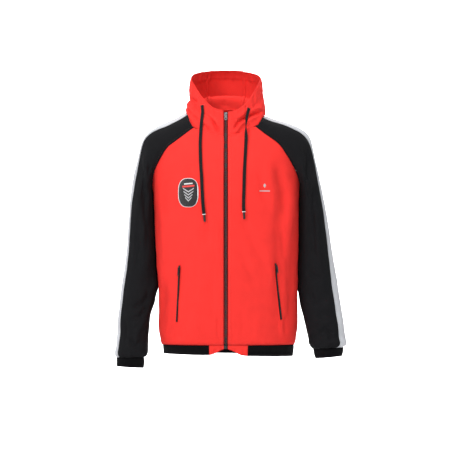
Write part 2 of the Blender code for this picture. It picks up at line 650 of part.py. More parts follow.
def cloth(name, cells, point, normal, thickness, material, closed=False, end_gap=SEAM_GAP / 2):
    """A thin wall over a grid of cells: point(u, v) on its outer face, and the same moved in for its inner face.

    Every edge is drawn in by half a seam's gap, so that two pieces that share a seam line stay clear.
    """
    sheet = bmesh.new()
    bmesh.ops.create_grid(sheet, x_segments=cells[0], y_segments=cells[1], size=0.5)
    across = sheet.verts.layers.float.new("across")
    along = sheet.verts.layers.float.new("along")
    inward = {}
    for vert in sheet.verts:
        u = round((vert.co.x + 0.5) * cells[0]) / cells[0]
        v = round((vert.co.y + 0.5) * cells[1]) / cells[1]
        vert[across], vert[along] = u, v
        vert.co = place_on(point, u, v, cells, closed, end_gap)
    if closed:
        bmesh.ops.remove_doubles(sheet, verts=sheet.verts, dist=1e-6)
    for vert in sheet.verts:
        u = round(vert[across] * cells[0]) / cells[0]
        v = round(vert[along] * cells[1]) / cells[1]
        wall = thickness(u, v) if callable(thickness) else thickness
        inward[(round(u, 5), round(v, 5))] = vert.co - normal(u, v) * wall
    outer = set(sheet.verts)
    bmesh.ops.extrude_face_region(sheet, geom=sheet.faces[:], use_keep_orig=True)
    for vert in sheet.verts:
        if vert not in outer:
            u = round(vert[across] * cells[0]) / cells[0]
            v = round(vert[along] * cells[1]) / cells[1]
            vert.co = inward[(round(u, 5), round(v, 5))]
    edge_faces = [face for face in sheet.faces if len(outer.intersection(face.verts)) == 2]
    bmesh.ops.triangulate(sheet, faces=edge_faces, quad_method="SHORT_EDGE")
    bmesh.ops.recalc_face_normals(sheet, faces=sheet.faces)
    mesh = bpy.data.meshes.new(name)
    sheet.to_mesh(mesh)
    sheet.free()
    mesh.shade_smooth()
    mesh.set_sharp_from_angle(angle=math.radians(40.0))
    return add_object(name, mesh, material)


def square_to(way, edge):
    """The part of a direction that is square to an edge, as a unit vector."""
    if edge.length > 1e-9:
        way = way - way.project(edge)
    return way.normalized()


def place_on(point, u, v, cells, closed, end_gap):
    """A place of the grid, drawn in square to the edges that it lies on."""
    place = point(u, v)
    across = point(u + (-0.25 if u > 0.5 else 0.25) / cells[0], v) - place
    along = point(u, v + (-0.25 if v > 0.5 else 0.25) / cells[1]) - place
    shift = Vector()
    if not closed and u in (0.0, 1.0):
        shift += square_to(across, along) * SEAM_GAP / 2
    if v in (0.0, 1.0):
        shift += square_to(along, across) * (end_gap if v == 0.0 else SEAM_GAP / 2)
    return place + shift


def make_front(side, red):
    def at(u, v):
        if v == 0.0:
            return neck_line("front", side, u)
        return front_point(side, u, v * PANEL_ROWS)

    def normal(u, v):
        turn, down = front_place(side, u, v * PANEL_ROWS)
        return seam_normal(turn, down, side, v * PANEL_ROWS, u == 1.0, False)
    return cloth(f"front_panel_{side}", (10, 18), at, normal, CLOTH, red)


def make_back(red):
    def at(u, v):
        if v == 0.0:
            return neck_line("back", "both", u)
        return back_point(u, v * PANEL_ROWS)

    def normal(u, v):
        turn, down = back_place(u, v * PANEL_ROWS)
        side = "left" if u > 0.5 else "right"
        return seam_normal(turn, down, side, v * PANEL_ROWS, u in (0.0, 1.0), True)
    return cloth("back_panel", (16, 18), at, normal, CLOTH, red)


def stripe_edge(side, station, behind):
    """Where the stripe ends on a sleeve's ring, as a share of its front or back half."""
    half = STRIPE_WIDTH / 2 + read(ARM_TOP[side], "forward", station) * (-1 if behind else 1)
    near = 1.02 if behind else 0.98
    speed = (sleeve_curve(side, 1.0001 if behind else 0.9999, station)
             - sleeve_curve(side, near, station)).length / 0.02
    return half / max(speed, 0.05)


def sleeve_place(side, piece, u, station):
    front = 1.0 - stripe_edge(side, station, False)
    back = 1.0 + stripe_edge(side, station, True)
    if piece == "front":
        return front * u
    if piece == "stripe":
        return mix(front, back, u)
    return mix(back, 2.0, u)


SLEEVE_ROWS = 24
RAGLAN_ROWS = 8
SLEEVE_COLUMNS = {"front": 6, "stripe": 3, "back": 7}


def sleeve_station(v):
    """The station of a share of a sleeve's length: above the underarm its rows match the body panels'."""
    row = v * SLEEVE_ROWS
    if row <= RAGLAN_ROWS:
        return 8.0 * row / RAGLAN_ROWS
    return mix(8.0, CUFF_START, (row - RAGLAN_ROWS) / (SLEEVE_ROWS - RAGLAN_ROWS))


def make_sleeve(side, piece, material):
    columns = SLEEVE_COLUMNS[piece]

    def at(u, v):
        station = sleeve_station(v)
        across = sleeve_place(side, piece, u, station)
        if v == 0.0:
            return neck_line("sleeve", side, across / 2.0)
        return sleeve_point(side, across, station)

    def normal(u, v):
        station = sleeve_station(v)
        if station == 0.0:
            return neck_normal(at(u, v))
        if (piece == "front" and u == 0.0) or (piece == "back" and u == 1.0):
            return raglan_normal(side, station, piece == "back")
        return sleeve_normal(side, sleeve_place(side, piece, u, station), station)
    return cloth(f"sleeve_{piece}_{side}", (columns, SLEEVE_ROWS), at, normal, CLOTH, material)


def make_cuff(side, black):
    """A rib cuff whose columns carry on those of the sleeve's three pieces."""
    columns = sum(SLEEVE_COLUMNS.values())

    def place(u):
        column = round(u * columns) % columns
        for piece, count in SLEEVE_COLUMNS.items():
            if column < count:
                return sleeve_place(side, piece, column / count, CUFF_START)
            column -= count

    def at(u, v):
        return sleeve_point(side, place(u), mix(CUFF_START + 0.03, CUFF_END, v))

    def normal(u, v):
        return sleeve_normal(side, place(u), mix(CUFF_START + 0.03, CUFF_END, v))
    return cloth(f"cuff_{side}", (columns, 2), at, normal, RIB_KNIT, black, closed=True)


HEM_TAB_TURN = {"right": 102.5, "left": 74.5}
HEM_TAB_RISE = 0.020


def hem_bottom(turn):
    """The hem's lower edge: lower to the wearer's left, and lifted beside the zip."""
    lean = 0.004 * math.cos(math.radians(turn))
    near_zip = math.exp(-((turn - 90.0) / 7.0) ** 2)
    return 0.7105 + lean - HEM_TAB_RISE * near_zip


def make_hem(name, start, end, columns, material):
    def place(u, v):
        turn = mix(start, end, u)
        return turn, mix(RIB_START, hem_bottom(turn), v)

    def at(u, v):
        return body_point(*place(u, v), rings=HEM)

    def normal(u, v):
        turn, down = place(u, v)
        return surface_normal(lambda a, b: body_point(a * 100.0, b, HEM), turn / 100.0, down,
                              (-9.0, 9.0), (0.6801, 0.715), 1)
    wall = CLOTH if name.startswith("hem_tab") else RIB_KNIT
    return cloth(name, (columns, 2), at, normal, wall, material)


def zip_edge_turn(side):
    """The turn at which the hem meets the zip's edge."""
    across = (ZIP_OPENING + (ZIP_CENTRE if side == "left" else -ZIP_CENTRE)) / 0.19
    return 90.0 + math.degrees(across ** (BODY_ROUNDNESS / 2.0)) * (-1 if side == "left" else 1)


def make_hood_piece(name, start, end, red):
    def at(u, v):
        return hood_point(mix(start, end, u), v * HOOD[-1].row)

    def normal(u, v):
        return hood_normal(mix(start, end, u), v * HOOD[-1].row)

    def wall(u, v):
        return hood_thickness(mix(start, end, u), v * HOOD[-1].row)
    return cloth(name, (end - start, 24), at, normal, wall, red, end_gap=NECK_GAP)


def zip_face(down):
    """The y of the cloth's outer face beside the zip."""
    if down < NECK_FRONT:
        return -mix(HOOD[-1].front, HOOD[0].front, down / NECK_FRONT)
    return -read(BODY, "front", down) if down < RIB_START else -read(HEM, "front", down)


def zip_strip(name, top, bottom, depth, thickness, material, rows):
    """The zip's closed teeth, or its end box: a strip `depth` behind the cloth's outer face."""
    def at(u, v):
        down = mix(top, bottom, v)
        return Vector((ZIP_CENTRE + (u - 0.5) * CHAIN_WIDTH, zip_face(down) + depth, -down))
    return cloth(name, (1, rows), at, lambda u, v: Vector((0.0, -1.0, 0.0)), thickness, material)


# Heights of the tape's rows: closer where the cloth above it bends, at the neck seam and the hem
TAPE_ROWS = [ZIP_TOP, 0.020, 0.040, 0.055, 0.062, 0.067, 0.071, 0.074, 0.078, 0.084, 0.095, 0.120, 0.150, 0.190,
             0.235, 0.290, 0.350, 0.420, 0.490, 0.560, 0.610, 0.640, 0.658, 0.668, 0.674, 0.678, 0.682, 0.686,
             0.690]


def zip_tape(side, pieces, material):
    """One half of the zip's tape, which lies on the inner faces of the pieces that it is sewn to."""
    trees = [panel_tree(piece) for piece in pieces]
    way = 1 if side == "left" else -1

    def at(u, v):
        x = ZIP_CENTRE + way * (TAPE_INNER + u * TAPE_WIDTH)
        row = v * (len(TAPE_ROWS) - 1)
        before = min(int(row), len(TAPE_ROWS) - 2)
        down = mix(TAPE_ROWS[before], TAPE_ROWS[before + 1], row - before)
        touching = max(ZIP_OPENING + 0.0005, TAPE_INNER + u * TAPE_WIDTH) * way + ZIP_CENTRE
        behind = [tree.ray_cast(Vector((touching, -0.05, z)), Vector((0.0, -1.0, 0.0)))[0]
                  for tree in trees for z in (-down - 0.0015, -down, -down + 0.0015)]
        return Vector((x, max(hit.y for hit in behind if hit) + TAPE_CLEAR, -down))
    return cloth(f"zip_tape_{side}", (1, len(TAPE_ROWS) - 1), at, lambda u, v: Vector((0.0, -1.0, 0.0)), TAPE_CLOTH,
                 material)


def flat_plate(name, outlines, thickness, material):
    """A flat outline with its holes, in local XZ with X across, thickness along Y, made a welded mesh."""
    curve = bpy.data.curves.new(name, "CURVE")
    curve.dimensions = "2D"
    curve.fill_mode = "BOTH"
    curve.extrude = thickness / 2
    for outline in outlines:
        spline = curve.splines.new("POLY")
        spline.points.add(len(outline) - 1)
        spline.use_cyclic_u = True
        for point, (x, y) in zip(spline.points, outline):
            point.co = (x, y, 0.0, 1.0)
    drawn = bpy.data.objects.new(name + "_outline", curve)
    bpy.data.collections["hoodie"].objects.link(drawn)
    seen = drawn.evaluated_get(bpy.context.evaluated_depsgraph_get())
    mesh = bpy.data.meshes.new_from_object(seen)
    bpy.data.objects.remove(drawn)
    welded = bmesh.new()
    welded.from_mesh(mesh)
    bmesh.ops.remove_doubles(welded, verts=welded.verts, dist=1e-6)
    bmesh.ops.rotate(welded, verts=welded.verts, matrix=Matrix.Rotation(math.radians(90.0), 3, "X"))
    bmesh.ops.recalc_face_normals(welded, faces=welded.faces)
    welded.to_mesh(mesh)
    welded.free()
    mesh.materials.clear()
    return add_object(name, mesh, material)


def arc(centre, radius, start, end, steps):
    return [(centre[0] + radius * math.cos(math.radians(mix(start, end, step / steps))),
             centre[1] + radius * math.sin(math.radians(mix(start, end, step / steps))))
            for step in range(steps + 1)]


def circle(centre, radius, steps):
    return arc(centre, radius, 0.0, 360.0, steps)[:-1]


RING_HOLE = 0.00095
RING_RADIUS = 0.0019
RING_THICKNESS = 0.0014
RING_STAND = 0.00175
BAR_HALF = 0.00055
PULL_PLATE = 0.0010


def bail_ring(name, centre):
    """The little ring on a slider that the pull hangs from, turned about the hinge axis (local X)."""
    ring = flat_plate(name, [circle((0, 0), RING_RADIUS, 16), circle((0, 0), RING_HOLE, 12)], RING_THICKNESS,
                      finish("cutter", GREY_METAL, 0.5))
    ring.data.transform(Matrix.Translation(centre) @ Matrix.Rotation(math.radians(90.0), 4, "Z"))
    return ring


def join_ring(slider, ring):
    """Fuses the ring into the slider with a Boolean union."""
    union = slider.modifiers.new("ring", "BOOLEAN")
    union.operation = "UNION"
    union.object = ring
    ring.hide_render = True
    ring.display_type = "WIRE"
    bpy.data.collections["hoodie"].objects.unlink(ring)
    bpy.data.collections["cutters"].objects.link(ring)


def slider_outline(face, slot, height):
    """A slider from the side: a front and a back plate that straddle the teeth, joined at the top."""
    bridge = 0.0026
    return [(-face, 0.0), (-slot, 0.0), (-slot, height - bridge), (slot, height - bridge), (slot, 0.0),
            (face, 0.0), (face, height * 0.8), (face * 0.6, height), (-face * 0.6, height), (-face, height * 0.8)]


def pull_outline(length, head, tail, hole):
    """A pull from the front, hung from its bar at the origin: a window for the ring, a rounded tail, a hole."""
    window = [(-0.0012, -BAR_HALF), (-0.0012, -0.0027), (0.0012, -0.0027), (0.0012, -BAR_HALF)]
    outer = [(-head / 2, BAR_HALF), (-head / 2, -0.0034)]
    outer += arc((0.0, -length + tail / 2), tail / 2, 180.0, 360.0, 10)
    outer += [(head / 2, -0.0034), (head / 2, BAR_HALF)]
    return [outer, window, circle((0.0, -length + tail / 2), hole / 2, 12)]


def local_frame(origin, up, out):
    """A matrix whose X runs across a zip, -Y out of the cloth and Z up the zip."""
    across = up.cross(out).normalized()
    return Matrix.Translation(origin) @ Matrix((across, -out, up)).transposed().to_4x4()


FRONT_SLIDER_HEIGHT = 0.012
FRONT_SLIDER_WIDTH = 0.0094
FRONT_SLIDER_SLOT = CHAIN_CLOTH / 2 + SEAM_GAP
FRONT_SLIDER_FACE = FRONT_SLIDER_SLOT + 0.0012
FRONT_SLIDER_DOWN = 0.0165
BRIDGE = 0.0026


def make_front_zip(black, metal):
    chain_middle = CHAIN_DEPTH + CHAIN_CLOTH / 2
    chain_top = FRONT_SLIDER_DOWN - FRONT_SLIDER_HEIGHT + BRIDGE + SEAM_GAP
    box_top = BODY_END + 0.0008
    for side in ("right", "left"):
        zip_tape(side, [bpy.data.objects[f"{piece}_{side}"] for piece in ("hood_side", "front_panel", "hem_tab")],
                 black)
    zip_strip("zip_chain", chain_top, BODY_END, CHAIN_DEPTH, CHAIN_CLOTH, black, 24)
    zip_strip("zip_box", box_top, hem_bottom(90.0), CHAIN_DEPTH - 0.0006, CHAIN_CLOTH + 0.0006, black, 2)

    origin = Vector((ZIP_CENTRE, zip_face(FRONT_SLIDER_DOWN) + chain_middle, -FRONT_SLIDER_DOWN))
    frame = local_frame(origin, Vector((0, 0, 1)), Vector((0, -1, 0)))
    outline = slider_outline(FRONT_SLIDER_FACE, FRONT_SLIDER_SLOT, FRONT_SLIDER_HEIGHT)
    slider = flat_plate("zip_slider", [outline], FRONT_SLIDER_WIDTH, metal)
    slider.data.transform(Matrix.Rotation(math.radians(90.0), 4, "Z"))
    hinge = Vector((0.0, -FRONT_SLIDER_FACE - RING_STAND, FRONT_SLIDER_HEIGHT * 0.5))
    ring = bail_ring("zip_slider_ring", hinge)
    slider.matrix_world = frame
    ring.matrix_world = frame
    join_ring(slider, ring)
    pull = flat_plate("zip_pull", pull_outline(0.0165, 0.0050, 0.0095, 0.0050), PULL_PLATE, metal)
    pull.matrix_world = frame @ Matrix.Translation(hinge)


PocketZip = namedtuple("PocketZip", "side top_x top_down bottom_x bottom_down")
POCKET_ZIPS = [
    PocketZip("right", -0.1339, 0.4486, -0.1421, 0.6121),
    PocketZip("left", 0.1424, 0.4421, 0.1597, 0.6059),
]
POCKET_ZIP_WIDTH = 0.0062
POCKET_TAPE = 0.0010
POCKET_COIL = 0.0019
LIE_GAP = 0.0013


def panel_tree(panel):
    mesh = panel.data
    return BVHTree.FromPolygons([vert.co for vert in mesh.vertices], [face.vertices for face in mesh.polygons])


def on_panel(tree, place, out):
    """The panel's own outer face at a place, looked up against the outward direction."""
    hit = tree.ray_cast(place + out * 0.05, -out)
    return hit[0], hit[1]


def make_pocket_zip(pocket, panel, black, metal):
    tree = panel_tree(panel)
    front = Vector((0.0, -1.0, 0.0))
    ends = [on_panel(tree, Vector((pocket.top_x, -0.1, -pocket.top_down)), front),
            on_panel(tree, Vector((pocket.bottom_x, -0.1, -pocket.bottom_down)), front)]
    run = (ends[1][0] - ends[0][0]).normalized()

    def out_at(v):
        facing = ends[0][1].lerp(ends[1][1], v)
        return (facing - facing.dot(run) * run).normalized()

    def at(u, v):
        out = out_at(v)
        across = run.cross(out)
        centre = on_panel(tree, ends[0][0].lerp(ends[1][0], v), out)[0]
        height = POCKET_COIL if abs(u - 0.5) < 0.25 else POCKET_TAPE
        edge, _ = on_panel(tree, centre + across * (u - 0.5) * POCKET_ZIP_WIDTH, out)
        return edge + out * (LIE_GAP + height)

    def wall(u, v):
        return POCKET_COIL if abs(u - 0.5) < 0.25 else POCKET_TAPE
    cloth(f"pocket_zip_{pocket.side}", (5, 14), at, lambda u, v: out_at(v), wall, black)

    slider_height, slider_width, slider_plate = 0.008, 0.0062, 0.0016
    seat = on_panel(tree, ends[0][0].lerp(ends[1][0], 0.05), out_at(0.05))[0]
    centre = seat + out_at(0.05) * (LIE_GAP + POCKET_COIL + SEAM_GAP)
    frame = local_frame(centre, -run, out_at(0.05))
    outline = [(0.0, -slider_height / 2), (0.0, slider_height / 2), (-slider_plate, slider_height * 0.35),
               (-slider_plate, -slider_height * 0.35)]
    slider = flat_plate(f"pocket_slider_{pocket.side}", [outline], slider_width, metal)
    slider.data.transform(Matrix.Rotation(math.radians(90.0), 4, "Z"))
    hinge = Vector((0.0, -slider_plate - RING_STAND, 0.0))
    ring = bail_ring(f"pocket_slider_ring_{pocket.side}", hinge)
    slider.matrix_world = frame
    ring.matrix_world = frame
    join_ring(slider, ring)
    pull = flat_plate(f"pocket_pull_{pocket.side}", pull_outline(0.0215, 0.0044, 0.0050, 0.0022), PULL_PLATE, metal)
    pull.matrix_world = frame @ Matrix.Translation(hinge)


BADGE_CENTRE = (-0.1084, -0.2376)
BADGE_HALF = (0.0315, 0.0455)
BADGE_ROUNDNESS = 2.7
BADGE_CLOTH = 0.0012
BADGE_BORDER_CLOTH = 0.0018
BADGE_FIELD = 0.90


def make_badge(panel, black, white):
    """A sewn-on badge with a raised border, laid on the panel's own points."""
    tree = panel_tree(panel)
    front = Vector((0.0, -1.0, 0.0))
    facing = sum((on_panel(tree, Vector((BADGE_CENTRE[0] + dx, -0.1, BADGE_CENTRE[1] + dz)), front)[1]
                  for dx in (-0.02, 0.02) for dz in (-0.03, 0.03)), Vector()).normalized()

    def at(u, reach, height):
        angle = math.tau * (u % 1.0)
        x = BADGE_CENTRE[0] + BADGE_HALF[0] * reach * signed_power(math.cos(angle), 2 / BADGE_ROUNDNESS)
        z = BADGE_CENTRE[1] + BADGE_HALF[1] * reach * signed_power(math.sin(angle), 2 / BADGE_ROUNDNESS)
        return on_panel(tree, Vector((x, -0.1, z)), front)[0] + facing * (LIE_GAP + height)
    cloth("chest_badge", (24, 3), lambda u, v: at(u, BADGE_FIELD * v, BADGE_CLOTH), lambda u, v: facing,
          BADGE_CLOTH, black, closed=True, end_gap=0.0)
    cloth("badge_border", (24, 1), lambda u, v: at(u, mix(BADGE_FIELD, 1.0, v), BADGE_BORDER_CLOTH),
          lambda u, v: facing, BADGE_BORDER_CLOTH, white, closed=True)


def make_cord(side, route, black):
    """A flat drawstring along its route, with a plain tip at its end."""
    points = [CordPoint(stage, *place) for stage, place in enumerate(route)]
    last = len(points) - 1

    def place(v):
        return Vector([read(points, axis, v * last) for axis in ("x", "y", "z")])

    def ahead(v):
        return (place(min(v + 0.002, 1.0)) - place(max(v - 0.002, 0.0))).normalized()

    def facing(v):
        turn = math.radians(read(points, "face", v * last))
        out = Vector((math.sin(turn), -math.cos(turn), 0.0))
        run = ahead(v)
        return (out - out.dot(run) * run).normalized()

    def at(u, v):
        aside = facing(v).cross(ahead(v))
        return place(v) + aside * (u - 0.5) * CORD_WIDTH + facing(v) * CORD_THICKNESS / 2
    cloth(f"drawstring_{side}", (2, 40), at, lambda u, v: facing(v), CORD_THICKNESS, black)

    tip = bmesh.new()
    bmesh.ops.create_cube(tip, size=1.0)
    bmesh.ops.scale(tip, verts=tip.verts, vec=(TIP_WIDTH, TIP_THICKNESS, TIP_LENGTH))
    bmesh.ops.bevel(tip, geom=tip.edges[:], offset=0.0012, segments=2, profile=0.5, affect="EDGES", material=-1)
    mesh = bpy.data.meshes.new(f"drawstring_tip_{side}")
    tip.to_mesh(mesh)
    tip.free()
    mesh.shade_smooth()
    obj = add_object(f"drawstring_tip_{side}", mesh, black)
    centre = place(1.0) + ahead(1.0) * (TIP_LENGTH / 2 + SEAM_GAP)
    obj.matrix_world = local_frame(centre, -ahead(1.0), facing(1.0))


def main():
    for old in list(bpy.data.objects):
        bpy.data.objects.remove(old)
    for name in ("hoodie", "cutters"):
        group = bpy.data.collections.new(name)
        bpy.context.scene.collection.children.link(group)

    red = finish("red_knit", RED, 0.85)
    black = finish("black_knit", BLACK, 0.88)
    white = finish("white_knit", WHITE, 0.85)
    trim = finish("black_trim", BLACK, 0.6)
    metal = finish("grey_metal", GREY_METAL, 0.35, 0.9)

    fronts = {side: make_front(side, red) for side in ("right", "left")}
    make_back(red)
    for side in ("right", "left"):
        make_sleeve(side, "front", black)
        make_sleeve(side, "stripe", white)
        make_sleeve(side, "back", black)
        make_cuff(side, black)
    make_hem("hem_tab_left", zip_edge_turn("left"), HEM_TAB_TURN["left"], 4, red)
    make_hem("hem_tab_right", HEM_TAB_TURN["right"], zip_edge_turn("right"), 4, red)
    make_hem("hem_rib", HEM_TAB_TURN["right"], 360.0 + HEM_TAB_TURN["left"], 30, black)
    make_hood_piece("hood_side_right", 0, HOOD_SIDE_COLUMNS, red)
    make_hood_piece("hood_centre", HOOD_SIDE_COLUMNS, HOOD_COLUMNS - HOOD_SIDE_COLUMNS, red)
    make_hood_piece("hood_side_left", HOOD_COLUMNS - HOOD_SIDE_COLUMNS, HOOD_COLUMNS, red)
    make_front_zip(trim, metal)
    for pocket in POCKET_ZIPS:
        make_pocket_zip(pocket, fronts[pocket.side], trim, metal)
    make_badge(fronts["right"], black, white)
    for side, route in CORDS.items():
        make_cord(side, route, trim)


main()
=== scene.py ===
"""A zipped raglan hoodie: cloth panels, rib, zips, drawstrings and stitching over the CAD solids."""

import math

import bmesh
import bpy
import numpy as np
from bpy.props import FloatProperty, FloatVectorProperty, IntProperty, PointerProperty
from mathutils import Matrix, Vector, noise
from mathutils.bvhtree import BVHTree
from mathutils.kdtree import KDTree


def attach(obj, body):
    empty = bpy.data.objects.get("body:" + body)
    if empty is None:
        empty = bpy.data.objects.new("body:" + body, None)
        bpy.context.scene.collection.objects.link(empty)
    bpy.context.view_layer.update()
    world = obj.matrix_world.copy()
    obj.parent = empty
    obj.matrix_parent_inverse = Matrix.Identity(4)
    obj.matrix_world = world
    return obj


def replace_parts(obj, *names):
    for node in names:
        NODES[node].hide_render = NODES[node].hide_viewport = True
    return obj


bl_info = {
    "name": "Raglan Zip Hoodie",
    "version": (1, 0, 0),
    "blender": (4, 5, 0),
    "location": "3D View > Sidebar > Hoodie",
    "description": "Makes the cloth, rib, zips, drawstrings and stitching of a zipped raglan hoodie",
    "category": "Object",
}

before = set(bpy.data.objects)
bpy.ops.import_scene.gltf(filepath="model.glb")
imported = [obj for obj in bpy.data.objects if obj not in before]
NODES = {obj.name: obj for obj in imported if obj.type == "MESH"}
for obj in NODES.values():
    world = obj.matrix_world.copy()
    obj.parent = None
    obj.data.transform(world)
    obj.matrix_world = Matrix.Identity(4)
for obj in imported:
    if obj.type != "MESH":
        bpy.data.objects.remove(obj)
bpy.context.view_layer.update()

# The wearer's own sides, and the way that each lies along x.
SIDES = ("right", "left")
OUT = {"right": -1.0, "left": 1.0}

# The front zip's place along x, the top edge of the hem rib, and the way the chest faces.
ZIP_X = -0.0005
RIB_TOP = -0.6802
AHEAD = Vector((0.0, -1.0, 0.0))


# ---------------------------------------------------------------- what a user would change

def length(name, description, default, low=0.0):
    return FloatProperty(name=name, description=description, default=default, min=low,
                         unit="LENGTH", precision=5)


def colour(name, description, default):
    return FloatVectorProperty(name=name, description=description, default=default, min=0.0, max=1.0,
                               size=3, subtype="COLOR")


class HoodieCloth(bpy.types.PropertyGroup):
    wall: length("Cloth", "Thickness of the jersey panels", 0.0018)
    casing: length("Casing", "Thickness of the hood's edge, folded round the drawstring", 0.0034)
    rib: length("Rib", "Thickness of the cuffs and the hem", 0.0026)
    wale: length("Wale", "Width of one column of knit stitches", 0.0013)
    rib_pitch: length("Rib pitch", "Width of one rib of the cuffs and the hem", 0.0032)
    crumple: length("Crumple", "Height of the cloth's slight unevenness", 0.0012)
    seam_dip: length("Seam dip", "How far the cloth dips into a seam", 0.0009)
    level: IntProperty(name="Level", description="Subdivision steps of the cloth", default=3, min=1, max=3)


class HoodieColours(bpy.types.PropertyGroup):
    red: colour("Red", "Jersey of the panels and the hood", (0.92, 0.040, 0.033))
    black: colour("Black", "Jersey of the sleeves", (0.0085, 0.0085, 0.0098))
    white: colour("White", "Stripe along the sleeves", (0.57, 0.58, 0.61))
    rib: colour("Rib", "Knitted cuffs and hem", (0.0034, 0.0034, 0.0040))
    tape: colour("Tape", "Zip tapes and drawstrings", (0.0060, 0.0066, 0.0070))
    metal: colour("Metal", "Zip sliders and pull tabs", (0.18, 0.18, 0.19))
    silver: colour("Silver", "Embroidery thread of the badge and the chest mark", (0.46, 0.47, 0.48))


class HoodieTrim(bpy.types.PropertyGroup):
    tooth_pitch: length("Tooth pitch", "From one tooth of the front zip to the next", 0.0021)
    coil_pitch: length("Coil pitch", "From one turn of a pocket zip's coil to the next", 0.0014)
    cord_width: length("Drawstring width", "Width of the flat drawstrings", 0.010)
    cord_thickness: length("Drawstring thickness", "Thickness of the flat drawstrings", 0.0022)
    stitch: length("Stitch", "Length of one stitch", 0.0030)
    thread: length("Thread", "Thickness of the stitching thread", 0.0006)


class HoodieStudio(bpy.types.PropertyGroup):
    camera_distance: length("Camera distance", "From the camera to the hoodie", 10.0)
    camera_height: length("Camera height", "Height of the camera over the hoodie's origin", -0.334)
    floor_drop: length("Floor", "How far the floor is below the origin", -1.05, -3.0)
    floor: colour("Floor colour", "Backdrop and floor", (0.90, 0.90, 0.91))


def settings(name):
    return getattr(bpy.context.scene, name)


# ---------------------------------------------------------------- shader maths

class Signal:
    """A number that varies over a surface. Arithmetic on it adds the Math nodes."""

    def __init__(self, finish, socket):
        self.finish, self.socket = finish, socket

    def maths(self, operation, *values):
        return self.finish.maths(operation, *values)

    def __add__(self, other):
        return self.maths("ADD", self, other)

    def __sub__(self, other):
        return self.maths("SUBTRACT", self, other)

    def __mul__(self, other):
        return self.maths("MULTIPLY", self, other)

    def __truediv__(self, other):
        return self.maths("DIVIDE", self, other)

    def __rsub__(self, other):
        return self.maths("SUBTRACT", other, self)

    def __pow__(self, other):
        return self.maths("POWER", self, other)

    __radd__, __rmul__ = __add__, __mul__

    def __abs__(self):
        return self.maths("ABSOLUTE", self)

    def sine(self):
        return self.maths("SINE", self)

    def part(self):
        return self.maths("FRACT", self)

    def span(self, low, high, first=0.0, last=1.0):
        """Its share of the way from low to high, eased, as a number from first to last."""
        return self.finish.node("ShaderNodeMapRange", {"interpolation_type": "SMOOTHSTEP"}, {
            "Value": self, "From Min": low, "From Max": high, "To Min": first, "To Max": last})["Result"]


class Finish:
    """One material, made of nodes."""

    def __init__(self, name):
        self.material = bpy.data.materials.new(name)
        self.material.use_nodes = True
        self.tree = self.material.node_tree
        self.tree.nodes.clear()
        self.shader = self.raw("ShaderNodeBsdfPrincipled")
        output = self.raw("ShaderNodeOutputMaterial")
        self.tree.links.new(self.shader.outputs["BSDF"], output.inputs["Surface"])

    def raw(self, kind, options=None, values=None):
        made = self.tree.nodes.new(kind)
        for key, value in (options or {}).items():
            setattr(made, key, value)
        for key, value in (values or {}).items():
            self.feed(made.inputs[key], value)
        return made

    def feed(self, socket, value):
        if isinstance(value, Signal):
            self.tree.links.new(value.socket, socket)
        elif isinstance(value, bpy.types.NodeSocket):
            self.tree.links.new(value, socket)
        else:
            socket.default_value = value

    def node(self, kind, options=None, values=None):
        """Adds a node and gives its output sockets by name. One that carries a number is a Signal."""
        made = self.raw(kind, options, values)
        return {s.name: Signal(self, s) if s.type == "VALUE" else s for s in made.outputs if s.enabled}

    def maths(self, operation, *values):
        made = self.raw("ShaderNodeMath", {"operation": operation}, dict(enumerate(values)))
        return Signal(self, made.outputs[0])

    def mix(self, share, first, second):
        """A colour between two others, by a share from 0 to 1."""
        made = self.raw("ShaderNodeMix", {"data_type": "RGBA"}, {0: share, 6: shade(first), 7: shade(second)})
        return made.outputs[2]

    def noise(self, size, detail=2.0, roughness=0.5):
        """Noise from 0 to 1 whose lumps are about size metres across."""
        return self.node("ShaderNodeTexNoise", {}, {
            "Vector": self.object_place(), "Scale": 1.0 / size,
            "Detail": detail, "Roughness": roughness})["Fac"]

    def object_place(self):
        return self.node("ShaderNodeTexCoord")["Object"]

    def cloth_place(self):
        """Metres along and across the flat cloth."""
        return self.node("ShaderNodeUVMap", {"uv_map": "cloth"})["UV"]

    def axes(self, place):
        found = self.node("ShaderNodeSeparateXYZ", {}, {0: place})
        return found["X"], found["Y"], found["Z"]

    def attribute(self, name):
        return self.node("ShaderNodeAttribute", {"attribute_name": name})["Fac"]

    def bump(self, height, metres):
        """A normal for a height from 0 to 1 that stands metres high."""
        values = {"Height": height, "Distance": metres, "Strength": 1.0}
        return self.node("ShaderNodeBump", {}, values)["Normal"]

    def surface(self, **sockets):
        """Sets the shader's sockets, an underline standing for a space, and gives the material."""
        for name, value in sockets.items():
            self.feed(self.shader.inputs[name.replace("_", " ")], value)
        return self.material


def shade(value):
    """A colour as four numbers, or a socket as it is."""
    if isinstance(value, (Signal, bpy.types.NodeSocket)):
        return value
    return tuple(value)[:3] + (1.0,)


def scaled(value, factor):
    """A colour made darker or lighter."""
    return tuple(min(1.0, c * factor) for c in value)


# ---------------------------------------------------------------- finishes

def knit_height(finish, wale):
    """Columns of small V-shaped stitches over the flat cloth, as a height from 0 to 1."""
    x, y, _ = finish.axes(finish.cloth_place())
    across = x / wale
    leg = abs(across.part() - 0.5)
    course = ((y / (wale * 0.78) + leg * 1.1) * math.tau).sine() * 0.5 + 0.5
    return course * (leg * math.pi).sine().span(0.05, 0.9) * 0.6 + (1.0 - leg * 2.0) * 0.4


